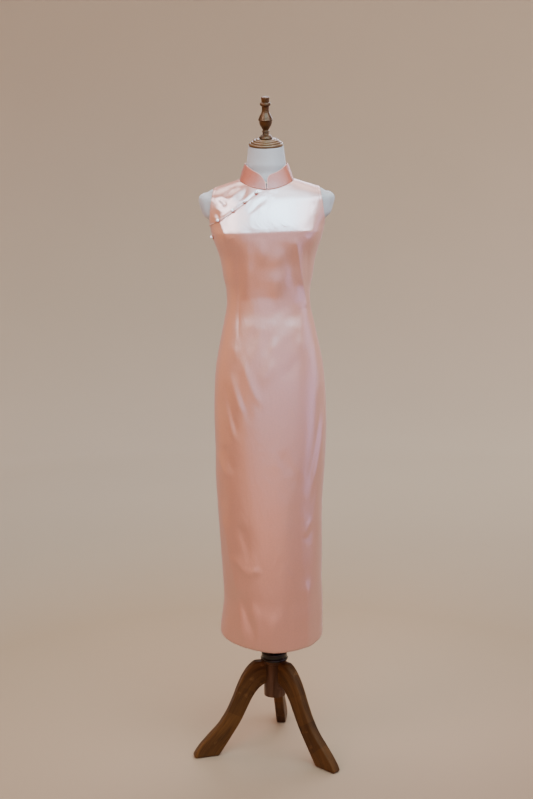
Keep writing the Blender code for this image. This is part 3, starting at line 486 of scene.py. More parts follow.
def extrudeProfile(profile, x=0.0, y=0.0):
    # draws the selected ring up a profile of radii and heights, about an upright axis
    for (radius, height), (nextRadius, nextHeight) in zip(profile, profile[1:]):
        bpy.ops.mesh.extrude_edges_move(TRANSFORM_OT_translate={"value": (0, 0, nextHeight - height)})
        ratio = nextRadius / radius
        bpy.ops.transform.resize(value=(ratio, ratio, 1), center_override=(x, y, nextHeight))


def makeFloor():
    s = floorSettings
    bpy.ops.mesh.primitive_circle_add(
        vertices=s["sides"], radius=s["radius"], fill_type="NGON", location=(column[0], column[1], 0)
    )
    floor = bpy.context.object
    floor.name = "floor"
    editAll()
    bpy.ops.mesh.region_to_loop()
    turns = [math.radians(90 * step / s["curveSteps"]) for step in range(s["curveSteps"] + 1)]
    curve = [(s["radius"] + s["curve"] * math.sin(turn), s["curve"] * (1 - math.cos(turn))) for turn in turns]
    extrudeProfile(curve, column[0], column[1])
    bpy.ops.mesh.extrude_edges_move(TRANSFORM_OT_translate={"value": (0, 0, s["wall"] - curve[-1][1])})
    bpy.ops.object.mode_set(mode="OBJECT")
    bpy.ops.object.shade_smooth()
    bpy.ops.object.transform_apply(location=True, rotation=True, scale=True)
    material, tree, shader = newMaterial("floorPaint", {"Base Color": s["floor"], "Roughness": 0.7})
    place = objectPlace(tree)
    away = addNode(tree, "VectorMath", {"operation": "LENGTH", "Vector": place}).outputs["Value"]
    share = rangeNode(tree, away, *s["blend"])
    base = mixColour(tree, share, s["floor"], s["paint"])
    shades = [tuple(value * s["cloudShade"] for value in s[name]) for name in ("floor", "paint")]
    tint(tree, shader, noiseNode(tree, place, 1.3, 3.0), mixColour(tree, share, *shades), base)
    floor.data.materials.append(material)


makeFloor()


# curves and surfaces
def softStep(low, high, value):
    t = np.clip((value - low) / (high - low), 0.0, 1.0)
    return t * t * (3 - 2 * t)


def lengthsAlong(path):
    return np.concatenate([[0], np.cumsum(np.linalg.norm(np.diff(path, axis=0), axis=1))])


def unit(vectors):
    return vectors / np.linalg.norm(vectors, axis=-1, keepdims=True)


def curveThrough(x, y):
    # a smooth curve through the values that never overshoots them
    x, y = np.asarray(x, float), np.asarray(y, float)
    rise = np.diff(y) / np.diff(x)
    slope = np.concatenate([rise[:1], (rise[:-1] + rise[1:]) / 2, rise[-1:]])
    for i, r in enumerate(rise):
        if i and rise[i - 1] * r <= 0:
            slope[i] = 0.0
        slope[i] = np.clip(slope[i], -3 * abs(r), 3 * abs(r))
        slope[i + 1] = np.clip(slope[i + 1], -3 * abs(r), 3 * abs(r))

    def at(where):
        where = np.clip(where, x[0], x[-1])
        i = np.clip(np.searchsorted(x, where) - 1, 0, len(rise) - 1)
        step = x[i + 1] - x[i]
        t = (where - x[i]) / step
        begin = y[i] * (1 + 2 * t) * (1 - t) ** 2 + slope[i] * step * t * (1 - t) ** 2
        return begin + y[i + 1] * t * t * (3 - 2 * t) + slope[i + 1] * step * t * t * (t - 1)

    return at


dressShape = {
    # outer surface: height, half widths to -X and +X, depths to front and back, squareness
    "sections": (
        (0.300, 0.1470, 0.1340, 0.1120, 0.110, 2.20),
        (0.366, 0.1450, 0.1340, 0.1130, 0.110, 2.20),
        (0.411, 0.1385, 0.1350, 0.1130, 0.110, 2.20),
        (0.451, 0.1345, 0.1345, 0.1120, 0.110, 2.20),
        (0.491, 0.1360, 0.1330, 0.1120, 0.110, 2.25),
        (0.573, 0.1400, 0.1350, 0.1120, 0.111, 2.25),
        (0.711, 0.1470, 0.1370, 0.1120, 0.113, 2.25),
        (0.789, 0.1500, 0.1430, 0.1120, 0.116, 2.25),
        (0.849, 0.1490, 0.1475, 0.1120, 0.118, 2.25),
        (0.934, 0.1500, 0.1500, 0.1115, 0.118, 2.25),
        (1.018, 0.1480, 0.1480, 0.1095, 0.114, 2.25),
        (1.078, 0.1430, 0.1430, 0.1060, 0.107, 2.20),
        (1.134, 0.1330, 0.1330, 0.1005, 0.097, 2.20),
        (1.185, 0.1220, 0.1220, 0.0930, 0.087, 2.20),
        (1.233, 0.1120, 0.1120, 0.0865, 0.079, 2.20),
        (1.256, 0.1100, 0.1100, 0.0865, 0.078, 2.20),
        (1.285, 0.1110, 0.1110, 0.0895, 0.080, 2.20),
        (1.314, 0.1170, 0.1170, 0.0955, 0.084, 2.25),
        (1.367, 0.1255, 0.1255, 0.1060, 0.090, 2.40),
        (1.388, 0.1320, 0.1320, 0.1105, 0.093, 2.52),
        (1.411, 0.1400, 0.1400, 0.1150, 0.095, 2.70),
        (1.426, 0.1440, 0.1440, 0.1167, 0.096, 2.80),
        (1.432, 0.1460, 0.1460, 0.1173, 0.097, 2.80),
        (1.438, 0.1475, 0.1475, 0.1163, 0.097, 2.75),
        (1.450, 0.1500, 0.1500, 0.1135, 0.098, 2.62),
        (1.476, 0.1650, 0.1640, 0.1060, 0.099, 2.20),
        (1.500, 0.1745, 0.1730, 0.0975, 0.096, 2.00),
        (1.520, 0.1785, 0.1775, 0.0890, 0.090, 1.95),
        (1.530, 0.1735, 0.1725, 0.0835, 0.085, 1.90),
        (1.538, 0.1600, 0.1600, 0.0795, 0.079, 1.85),
        (1.548, 0.1370, 0.1370, 0.0745, 0.072, 1.75),
        (1.560, 0.1010, 0.1010, 0.0690, 0.065, 1.75),
        (1.571, 0.0690, 0.0690, 0.0645, 0.060, 1.90),
        (1.582, 0.0580, 0.0580, 0.0610, 0.055, 2.00),
        (1.600, 0.0525, 0.0525, 0.0570, 0.047, 2.00),
        (1.620, 0.0495, 0.0495, 0.0550, 0.042, 2.00),
        (1.660, 0.0445, 0.0445, 0.0540, 0.037, 2.00),
    ),
    "armhole": ((1.450, 0.1500), (1.476, 0.1480), (1.502, 0.1450), (1.548, 0.1370)),
    "opening": (
        (180.0, 1.450), (197.0, 1.453), (212.0, 1.462), (225.5, 1.486),
        (237.0, 1.508), (251.6, 1.530), (270.0, 1.541),
    ),
    "wall": 0.0012,
    "seam": 0.0003,
    "underarm": 1.450,
    "shoulderTip": 1.548,
    "neckPoint": 1.571,
    "necklineDrop": 0.030,
    "necklineRise": 0.010,
    "hem": 0.343,
    "hemRise": 0.010,
    "hemFrontDrop": 0.0255,
    "hemBackDrop": 0.005,
    "hemFade": 0.20,
    "slitTop": 0.580,
    "slitGaps": (0.008, 0.005),  # at the hem, on the -X side and on the +X side
    "bustTilt": 0.025,  # the bust line climbs towards +X
    "bustHeight": 1.432,
    "bustReach": 0.045,
    "seamFade": 0.016,
}
sectionRows = np.array(dressShape["sections"])
sectionAt = {
    name: curveThrough(sectionRows[:, 0], sectionRows[:, i])
    for i, name in enumerate(("height", "left", "right", "front", "back", "power"))
    if i
}
armholeWidth = curveThrough(*np.array(dressShape["armhole"]).T)
openingHeight = curveThrough(*np.array(dressShape["opening"]).T)


def bodyRadius(bearing, height):
    across, deep = np.cos(np.radians(bearing)), np.sin(np.radians(bearing))
    halfWidth = np.where(across < 0, sectionAt["left"](height), sectionAt["right"](height))
    near = np.exp(-(((height - dressShape["bustHeight"]) / dressShape["bustReach"]) ** 2))
    tilted = height - dressShape["bustTilt"] * near * across * halfWidth
    depth = np.where(deep < 0, sectionAt["front"](tilted), sectionAt["back"](height))
    power = sectionAt["power"](height)
    return (np.abs(across / halfWidth) ** power + np.abs(deep / depth) ** power) ** (-1 / power)


def bodyPoint(bearing, height):
    radius = bodyRadius(bearing, height)
    turn = np.radians(bearing)
    return np.stack([radius * np.cos(turn), radius * np.sin(turn), height + 0 * radius], axis=-1)


def gridNormals(grid):
    normals = unit(np.cross(np.gradient(grid, axis=1), np.gradient(grid, axis=0)))
    middle = tuple(size // 2 for size in grid.shape[:2])
    outward = grid[middle] * (1, 1, 0)
    return normals if normals[middle] @ outward > 0 else -normals


def foldLift(x, z, folds):
    # each fold runs from one point of the front view to another: x1 z1 x2 z2, the sideways bow of its
    # middle, width, height, sharpness (1 is a crisp edge, 2 is round), lean to one side, fade at the ends
    lift = np.zeros(np.broadcast(x, z).shape)
    for x1, z1, x2, z2, bow, width, height, sharp, lean, fade in folds:
        run, rise = x2 - x1, z2 - z1
        length = math.hypot(run, rise)
        t = ((x - x1) * run + (z - z1) * rise) / length**2
        side = ((x - x1) * -rise + (z - z1) * run) / length - bow * 4 * t * (1 - t)
        reach = width * np.where(side > 0, 1 + lean, 1 - lean)
        ends = softStep(0.0, fade, t) * softStep(0.0, fade, 1 - t)
        lift += height * ends * np.exp(-((np.abs(side) / reach) ** sharp))
    return lift


def folded(grid, folds):
    atSeam = softStep(0.0, dressShape["seamFade"], np.abs(grid[..., 1]))
    lift = foldLift(grid[..., 0], grid[..., 2], folds) * atSeam
    return grid + gridNormals(grid) * lift[..., None]


def line(start, end, steps):
    return [tuple(np.add(start, np.subtract(end, start) * i / steps)) for i in range(steps)]


def patch(bottom, top, left, right):
    # a grid of (bearing, height) pairs between four edges that share their corners
    bottom, top, left, right = (np.array(edge) for edge in (bottom, top, left, right))
    u = np.linspace(0, 1, len(bottom))[None, :, None]
    v = np.linspace(0, 1, len(left))[:, None, None]
    ruled = (1 - v) * bottom[None] + v * top[None] + (1 - u) * left[:, None] + u * right[:, None]
    corners = (1 - u) * (1 - v) * bottom[0] + u * (1 - v) * bottom[-1]
    return ruled - corners - (1 - u) * v * top[0] - u * v * top[-1]


# the dress's edges, as (bearing, height) pairs
def seamBearing(side, towards, height, gap=0.0):
    return side + towards * math.degrees((dressShape["seam"] / 2 + gap / 2) / bodyRadius(side, height))


def slitGap(side, height):
    share = max(0.0, (dressShape["slitTop"] - height) / (dressShape["slitTop"] - dressShape["hem"]))
    return dressShape["slitGaps"][0 if side == 180 else 1] * share**1.5


def armholeEdge(side, towards, steps):
    edge = []
    for i in range(steps + 1):
        share = (1 - math.cos(math.pi * i / steps)) / 2
        height = dressShape["underarm"] + (dressShape["shoulderTip"] - dressShape["underarm"]) * share
        halfWidth = sectionAt["left"](height)
        depth = sectionAt["front" if (side == 180) == (towards > 0) else "back"](height)
        power = sectionAt["power"](height)
        reach = min(1.0, float(armholeWidth(height) / halfWidth))
        deep = depth * (1 - reach**power) ** (1 / power)
        turn = math.degrees(math.atan2(deep, reach * halfWidth))
        least = abs(seamBearing(side, towards, height) - side)
        edge.append((side + towards * max(turn, least), height))
    return edge


def necklineHeight(bearing):
    turn = math.sin(math.radians(bearing))
    change = -dressShape["necklineDrop"] if turn < 0 else dressShape["necklineRise"]
    return dressShape["neckPoint"] + change * turn * turn


def hemHeight(bearing):
    across, deep = np.cos(np.radians(bearing)), np.sin(np.radians(bearing))
    drop = np.where(deep < 0, dressShape["hemFrontDrop"] * -deep, dressShape["hemBackDrop"] * deep)
    return dressShape["hem"] + dressShape["hemRise"] * np.maximum(-across, 0.0) - drop


clothMesh = {
    "skirtRows": 105, "hipRows": 105, "hipHeight": 0.98, "patchHeight": 1.385,
    "sideRows": 22, "armholeRows": 44,
    "openingColumns": 74, "necklineColumns": 32, "shoulderColumns": 42,
    "backNeckColumns": 36, "backShoulderColumns": 40,
    "underColumns": 70, "underRows": 76, "lapRows": 12,
}


def skirtRows(bearings, sides):
    m = clothMesh
    heights = np.concatenate(
        [
            np.linspace(dressShape["hem"], m["hipHeight"], m["skirtRows"], endpoint=False),
            np.linspace(m["hipHeight"], m["patchHeight"], m["hipRows"] + 1),
        ]
    )
    rows = []
    share = (bearings - bearings[0]) / (bearings[-1] - bearings[0])
    for height in heights:
        ends = [seamBearing(side, towards, height, slitGap(side % 360, height)) for side, towards in sides]
        turned = ends[0] + (ends[1] - ends[0]) * share
        fade = max(0.0, 1 - (height - dressShape["hem"]) / dressShape["hemFade"]) ** 2
        rows.append(np.stack([turned, height + (hemHeight(turned) - dressShape["hem"]) * fade], axis=-1))
    return np.array(rows)


def frontDomain():
    m, d = clothMesh, dressShape
    columns = m["openingColumns"] + m["necklineColumns"] + m["shoulderColumns"]
    skirt = skirtRows(np.linspace(180, 360, columns + 1), ((180, 1), (360, -1)))
    underarm = (seamBearing(180, 1, d["underarm"]), d["underarm"])
    left = line(skirt[-1, 0], underarm, m["sideRows"] + m["armholeRows"]) + [underarm]
    armhole = armholeEdge(360, -1, m["armholeRows"])
    right = line(skirt[-1, -1], armhole[0], m["sideRows"]) + armhole
    neckSide = (360 + seamBearing(0, -1, d["neckPoint"]), d["neckPoint"])
    top = [(b, float(openingHeight(b))) for b in np.linspace(underarm[0], 270, m["openingColumns"] + 1)]
    top += [(b, necklineHeight(b)) for b in np.linspace(270, neckSide[0], m["necklineColumns"] + 1)[1:]]
    top += line(neckSide, armhole[-1], m["shoulderColumns"])[1:] + [armhole[-1]]
    return np.concatenate([skirt, patch(skirt[-1], top, left, right)[1:]])


def backDomain():
    m, d = clothMesh, dressShape
    columns = m["backNeckColumns"] + 2 * m["backShoulderColumns"]
    skirt = skirtRows(np.linspace(180, 0, columns + 1), ((180, -1), (0, 1)))
    armLeft, armRight = armholeEdge(180, -1, m["armholeRows"]), armholeEdge(0, 1, m["armholeRows"])
    left = line(skirt[-1, 0], armLeft[0], m["sideRows"]) + armLeft
    right = line(skirt[-1, -1], armRight[0], m["sideRows"]) + armRight
    neckLeft = (seamBearing(180, -1, d["neckPoint"]), d["neckPoint"])
    neckRight = (seamBearing(0, 1, d["neckPoint"]), d["neckPoint"])
    top = line(armLeft[-1], neckLeft, m["backShoulderColumns"])
    top += [(b, necklineHeight(b)) for b in np.linspace(neckLeft[0], neckRight[0], m["backNeckColumns"] + 1)]
    top += line(neckRight, armRight[-1], m["backShoulderColumns"])[1:] + [armRight[-1]]
    return np.concatenate([skirt, patch(skirt[-1], top, left, right)[1:]])


def underDomain():
    m, d = clothMesh, dressShape
    lapRows, end = m["lapRows"], underPanel["end"]
    armhole = armholeEdge(180, 1, m["underRows"] - lapRows)
    neckSide = (seamBearing(180, 1, d["neckPoint"]), d["neckPoint"])
    ends = np.linspace(armhole[0][0], end, m["underColumns"] + 1)
    bottom = [(b, float(openingHeight(min(b, 270.0))) - underPanel["lap"]) for b in ends]
    top = line(armhole[-1], neckSide, m["underColumns"]) + [neckSide]
    left = line(bottom[0], armhole[0], lapRows) + armhole
    neckline = [(b, necklineHeight(b)) for b in np.linspace(end, neckSide[0], m["underRows"] - lapRows + 1)]
    right = line(bottom[-1], neckline[0], lapRows) + neckline
    return patch(bottom, top, left, right)


# making cloth
def nearest(points, edge):
    # distance from each point of a grid to the nearest point of an edge
    flat = points.reshape(-1, 3)
    found = np.empty(len(flat))
    for i in range(0, len(flat), 4000):
        found[i : i + 4000] = np.linalg.norm(flat[i : i + 4000, None] - edge[None], axis=2).min(axis=1)
    return found.reshape(points.shape[:-1])


def finerEdge(edge, spacing=0.0012):
    edge = np.asarray(edge)
    steps = lengthsAlong(edge)
    count = max(2, int(steps[-1] / spacing))
    at = np.linspace(0, steps[-1], count)
    return np.stack([np.interp(at, steps, edge[:, i]) for i in range(3)], axis=-1)


def newObject(name, points, faces, materials, faceMaterials=None, cut=None, body="form"):
    mesh = bpy.data.meshes.new(name)
    mesh.from_pydata((np.asarray(points) + column).tolist(), [], [tuple(face) for face in faces])
    for material in materials:
        mesh.materials.append(material)
    if faceMaterials is not None:
        mesh.polygons.foreach_set("material_index", np.asarray(faceMaterials, np.int32))
    if cut is not None:
        layer = mesh.uv_layers.new(name="cut")
        corners = np.empty(len(mesh.loops), np.int32)
        mesh.loops.foreach_get("vertex_index", corners)
        layer.data.foreach_set("uv", np.asarray(cut, np.float32)[corners].ravel())
    mesh.polygons.foreach_set("use_smooth", np.ones(len(mesh.polygons), bool))
    mesh.update()
    obj = bpy.data.objects.new(name, mesh)
    bpy.context.scene.collection.objects.link(obj)
    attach(obj, body)
    return obj


def selectOnly(*objects):
    bpy.ops.object.select_all(action="DESELECT")
    for obj in objects:
        obj.select_set(True)
    bpy.context.view_layer.objects.active = objects[0]


def copyOf(model):
    copy = model.copy()
    copy.data = model.data.copy()
    bpy.context.scene.collection.objects.link(copy)
    return copy


def applyPlaces(*objects):
    selectOnly(*objects)
    bpy.ops.object.transform_apply(location=True, rotation=True, scale=True)


def turnFacesOut():
    # in edit mode, which this leaves
    bpy.ops.mesh.select_all(action="SELECT")
    bpy.ops.mesh.normals_make_consistent(inside=False)
    bpy.ops.object.mode_set(mode="OBJECT")


def outwardFaces(obj):
    selectOnly(obj)
    bpy.ops.object.mode_set(mode="EDIT")
    turnFacesOut()


sewing = {
    "seamPlane": 0.0010,  # points this near the sides' plane have their wall along it
    "seamReach": 0.0012,  # rim points this near it are on a seam
    "roll": 0.0004,
    "turnedFold": (0.0042, 0.0070),  # where a turned edge's raised band ends
    "turnedRise": 0.0004,
    "stitchLine": 0.0062,
    "stitchDip": (0.0011, 0.0003),
    "seamDip": (0.0016, 0.0004),
    "hemLine": 0.024,
    "hemFold": (-0.002, 0.001),  # from the hem's line
    "hemRise": 0.0003,
    "hemDip": (0.0018, 0.0004),
}


def wallBehind(grid, wall):
    normals = gridNormals(grid)
    normals[..., 1] *= np.abs(grid[..., 1]) > sewing["seamPlane"]
    return grid - unit(normals) * np.reshape(wall, np.shape(wall) + (1,))


def rimOf(rows, columns):
    # a grid's border as (row, column) pairs, once round
    rim = [(0, j) for j in range(columns)] + [(i, columns - 1) for i in range(1, rows)]
    rim += [(rows - 1, j) for j in range(columns - 2, -1, -1)]
    return rim + [(i, 0) for i in range(rows - 2, 0, -1)]


def rimRoll(grid):
    # free edges are rolled, and edges along a side or shoulder seam are not
    rim = np.array([grid[place] for place in rimOf(*grid.shape[:2])])
    onSeam = (np.abs(rim[:, 1]) < sewing["seamReach"]) & (rim[:, 2] > dressShape["slitTop"])
    return np.where(onSeam, 0.0, sewing["roll"])


def clothObject(name, outer, inner, cutPlaces, roll, face=satin):
    # two faces of points joined by a rolled rim; roll is how far the rim stands out, for each edge point
    rows, columns = outer.shape[:2]
    count = rows * columns
    index = np.arange(count).reshape(rows, columns)
    quads = np.stack([index[:-1, :-1], index[:-1, 1:], index[1:, 1:], index[1:, :-1]], axis=-1).reshape(-1, 4)
    corner = quads[len(quads) // 2]
    flat, behind = outer.reshape(-1, 3), inner.reshape(-1, 3)
    facing = np.cross(flat[corner[1]] - flat[corner[0]], flat[corner[2]] - flat[corner[0]])
    turned = facing @ (flat[corner[0]] * (1, 1, 0)) < 0
    if turned:
        quads = quads[:, ::-1]
    rim = rimOf(rows, columns)
    rimIndex = np.array([index[place] for place in rim])
    inside = np.array([index[min(max(i, 1), rows - 2), min(max(j, 1), columns - 2)] for i, j in rim])
    out = unit(flat[rimIndex] - flat[inside])
    middle = (flat[rimIndex] + behind[rimIndex]) / 2 + out * roll[:, None]
    after = np.roll(np.arange(len(rim)), -1)
    edge = 2 * count + np.arange(len(rim))
    first = np.stack([rimIndex, rimIndex[after], edge[after], edge], axis=-1)
    second = np.stack([edge, edge[after], rimIndex[after] + count, rimIndex + count], axis=-1)
    if not turned:
        first, second = first[:, ::-1], second[:, ::-1]
    faces = np.concatenate([quads, quads[:, ::-1] + count, first, second])
    kinds = np.repeat([0, 1, 0], [len(quads), len(quads), 2 * len(rim)])
    cut = cutPlaces.reshape(-1, 2)
    cut = np.concatenate([cut, cut, cut[rimIndex]])
    return newObject(name, np.concatenate([flat, behind, middle]), faces.tolist(), [face, lining], kinds, cut)


def cutPlacesOf(grid):
    # where each point lies on the cut cloth: round the body and up it, in metres
    across = np.linalg.norm(np.diff(grid, axis=1), axis=2)
    u = np.concatenate([np.zeros((len(grid), 1)), np.cumsum(across, axis=1)], axis=1)
    u -= u[:, [grid.shape[1] // 2]]
    up = np.linalg.norm(np.diff(grid, axis=0), axis=2)
    v = np.concatenate([np.zeros((1, grid.shape[1])), np.cumsum(up, axis=0)], axis=0)
    return np.stack([u, v], axis=-1)


def groove(away, shape):
    width, depth = shape
    return depth * np.exp(-((away / width) ** 2))


def sewnLift(grid, turnedEdges, seams, hem=None):
    s = sewing
    lift = np.zeros(grid.shape[:2])
    for edge in turnedEdges:
        away = nearest(grid, finerEdge(edge))
        lift += s["turnedRise"] * (1 - softStep(*s["turnedFold"], away))
        lift -= groove(away - s["stitchLine"], s["stitchDip"])
    for edge in seams:
        lift -= groove(nearest(grid, finerEdge(edge)), s["seamDip"])
    if hem is not None:
        away = nearest(grid, finerEdge(hem)) - s["hemLine"]
        lift += s["hemRise"] * (1 - softStep(*s["hemFold"], away))
        lift -= groove(away, s["hemDip"])
    return lift


def hangSheet(name, node, grid, outer, inner):
    panel = clothObject(name, outer, inner, cutPlacesOf(grid), rimRoll(outer))
    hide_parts(node)


def insetPath(grid, distance):
    # for a grid turned so that the edge is its last column: points this far in from it
    away = np.linalg.norm(np.diff(grid[:, ::-1], axis=1), axis=2)
    along = np.concatenate([np.zeros((len(grid), 1)), np.cumsum(away, axis=1)], axis=1)
    rows = range(len(grid))
    return np.array([[np.interp(distance, along[i], grid[i, ::-1, k]) for k in range(3)] for i in rows])


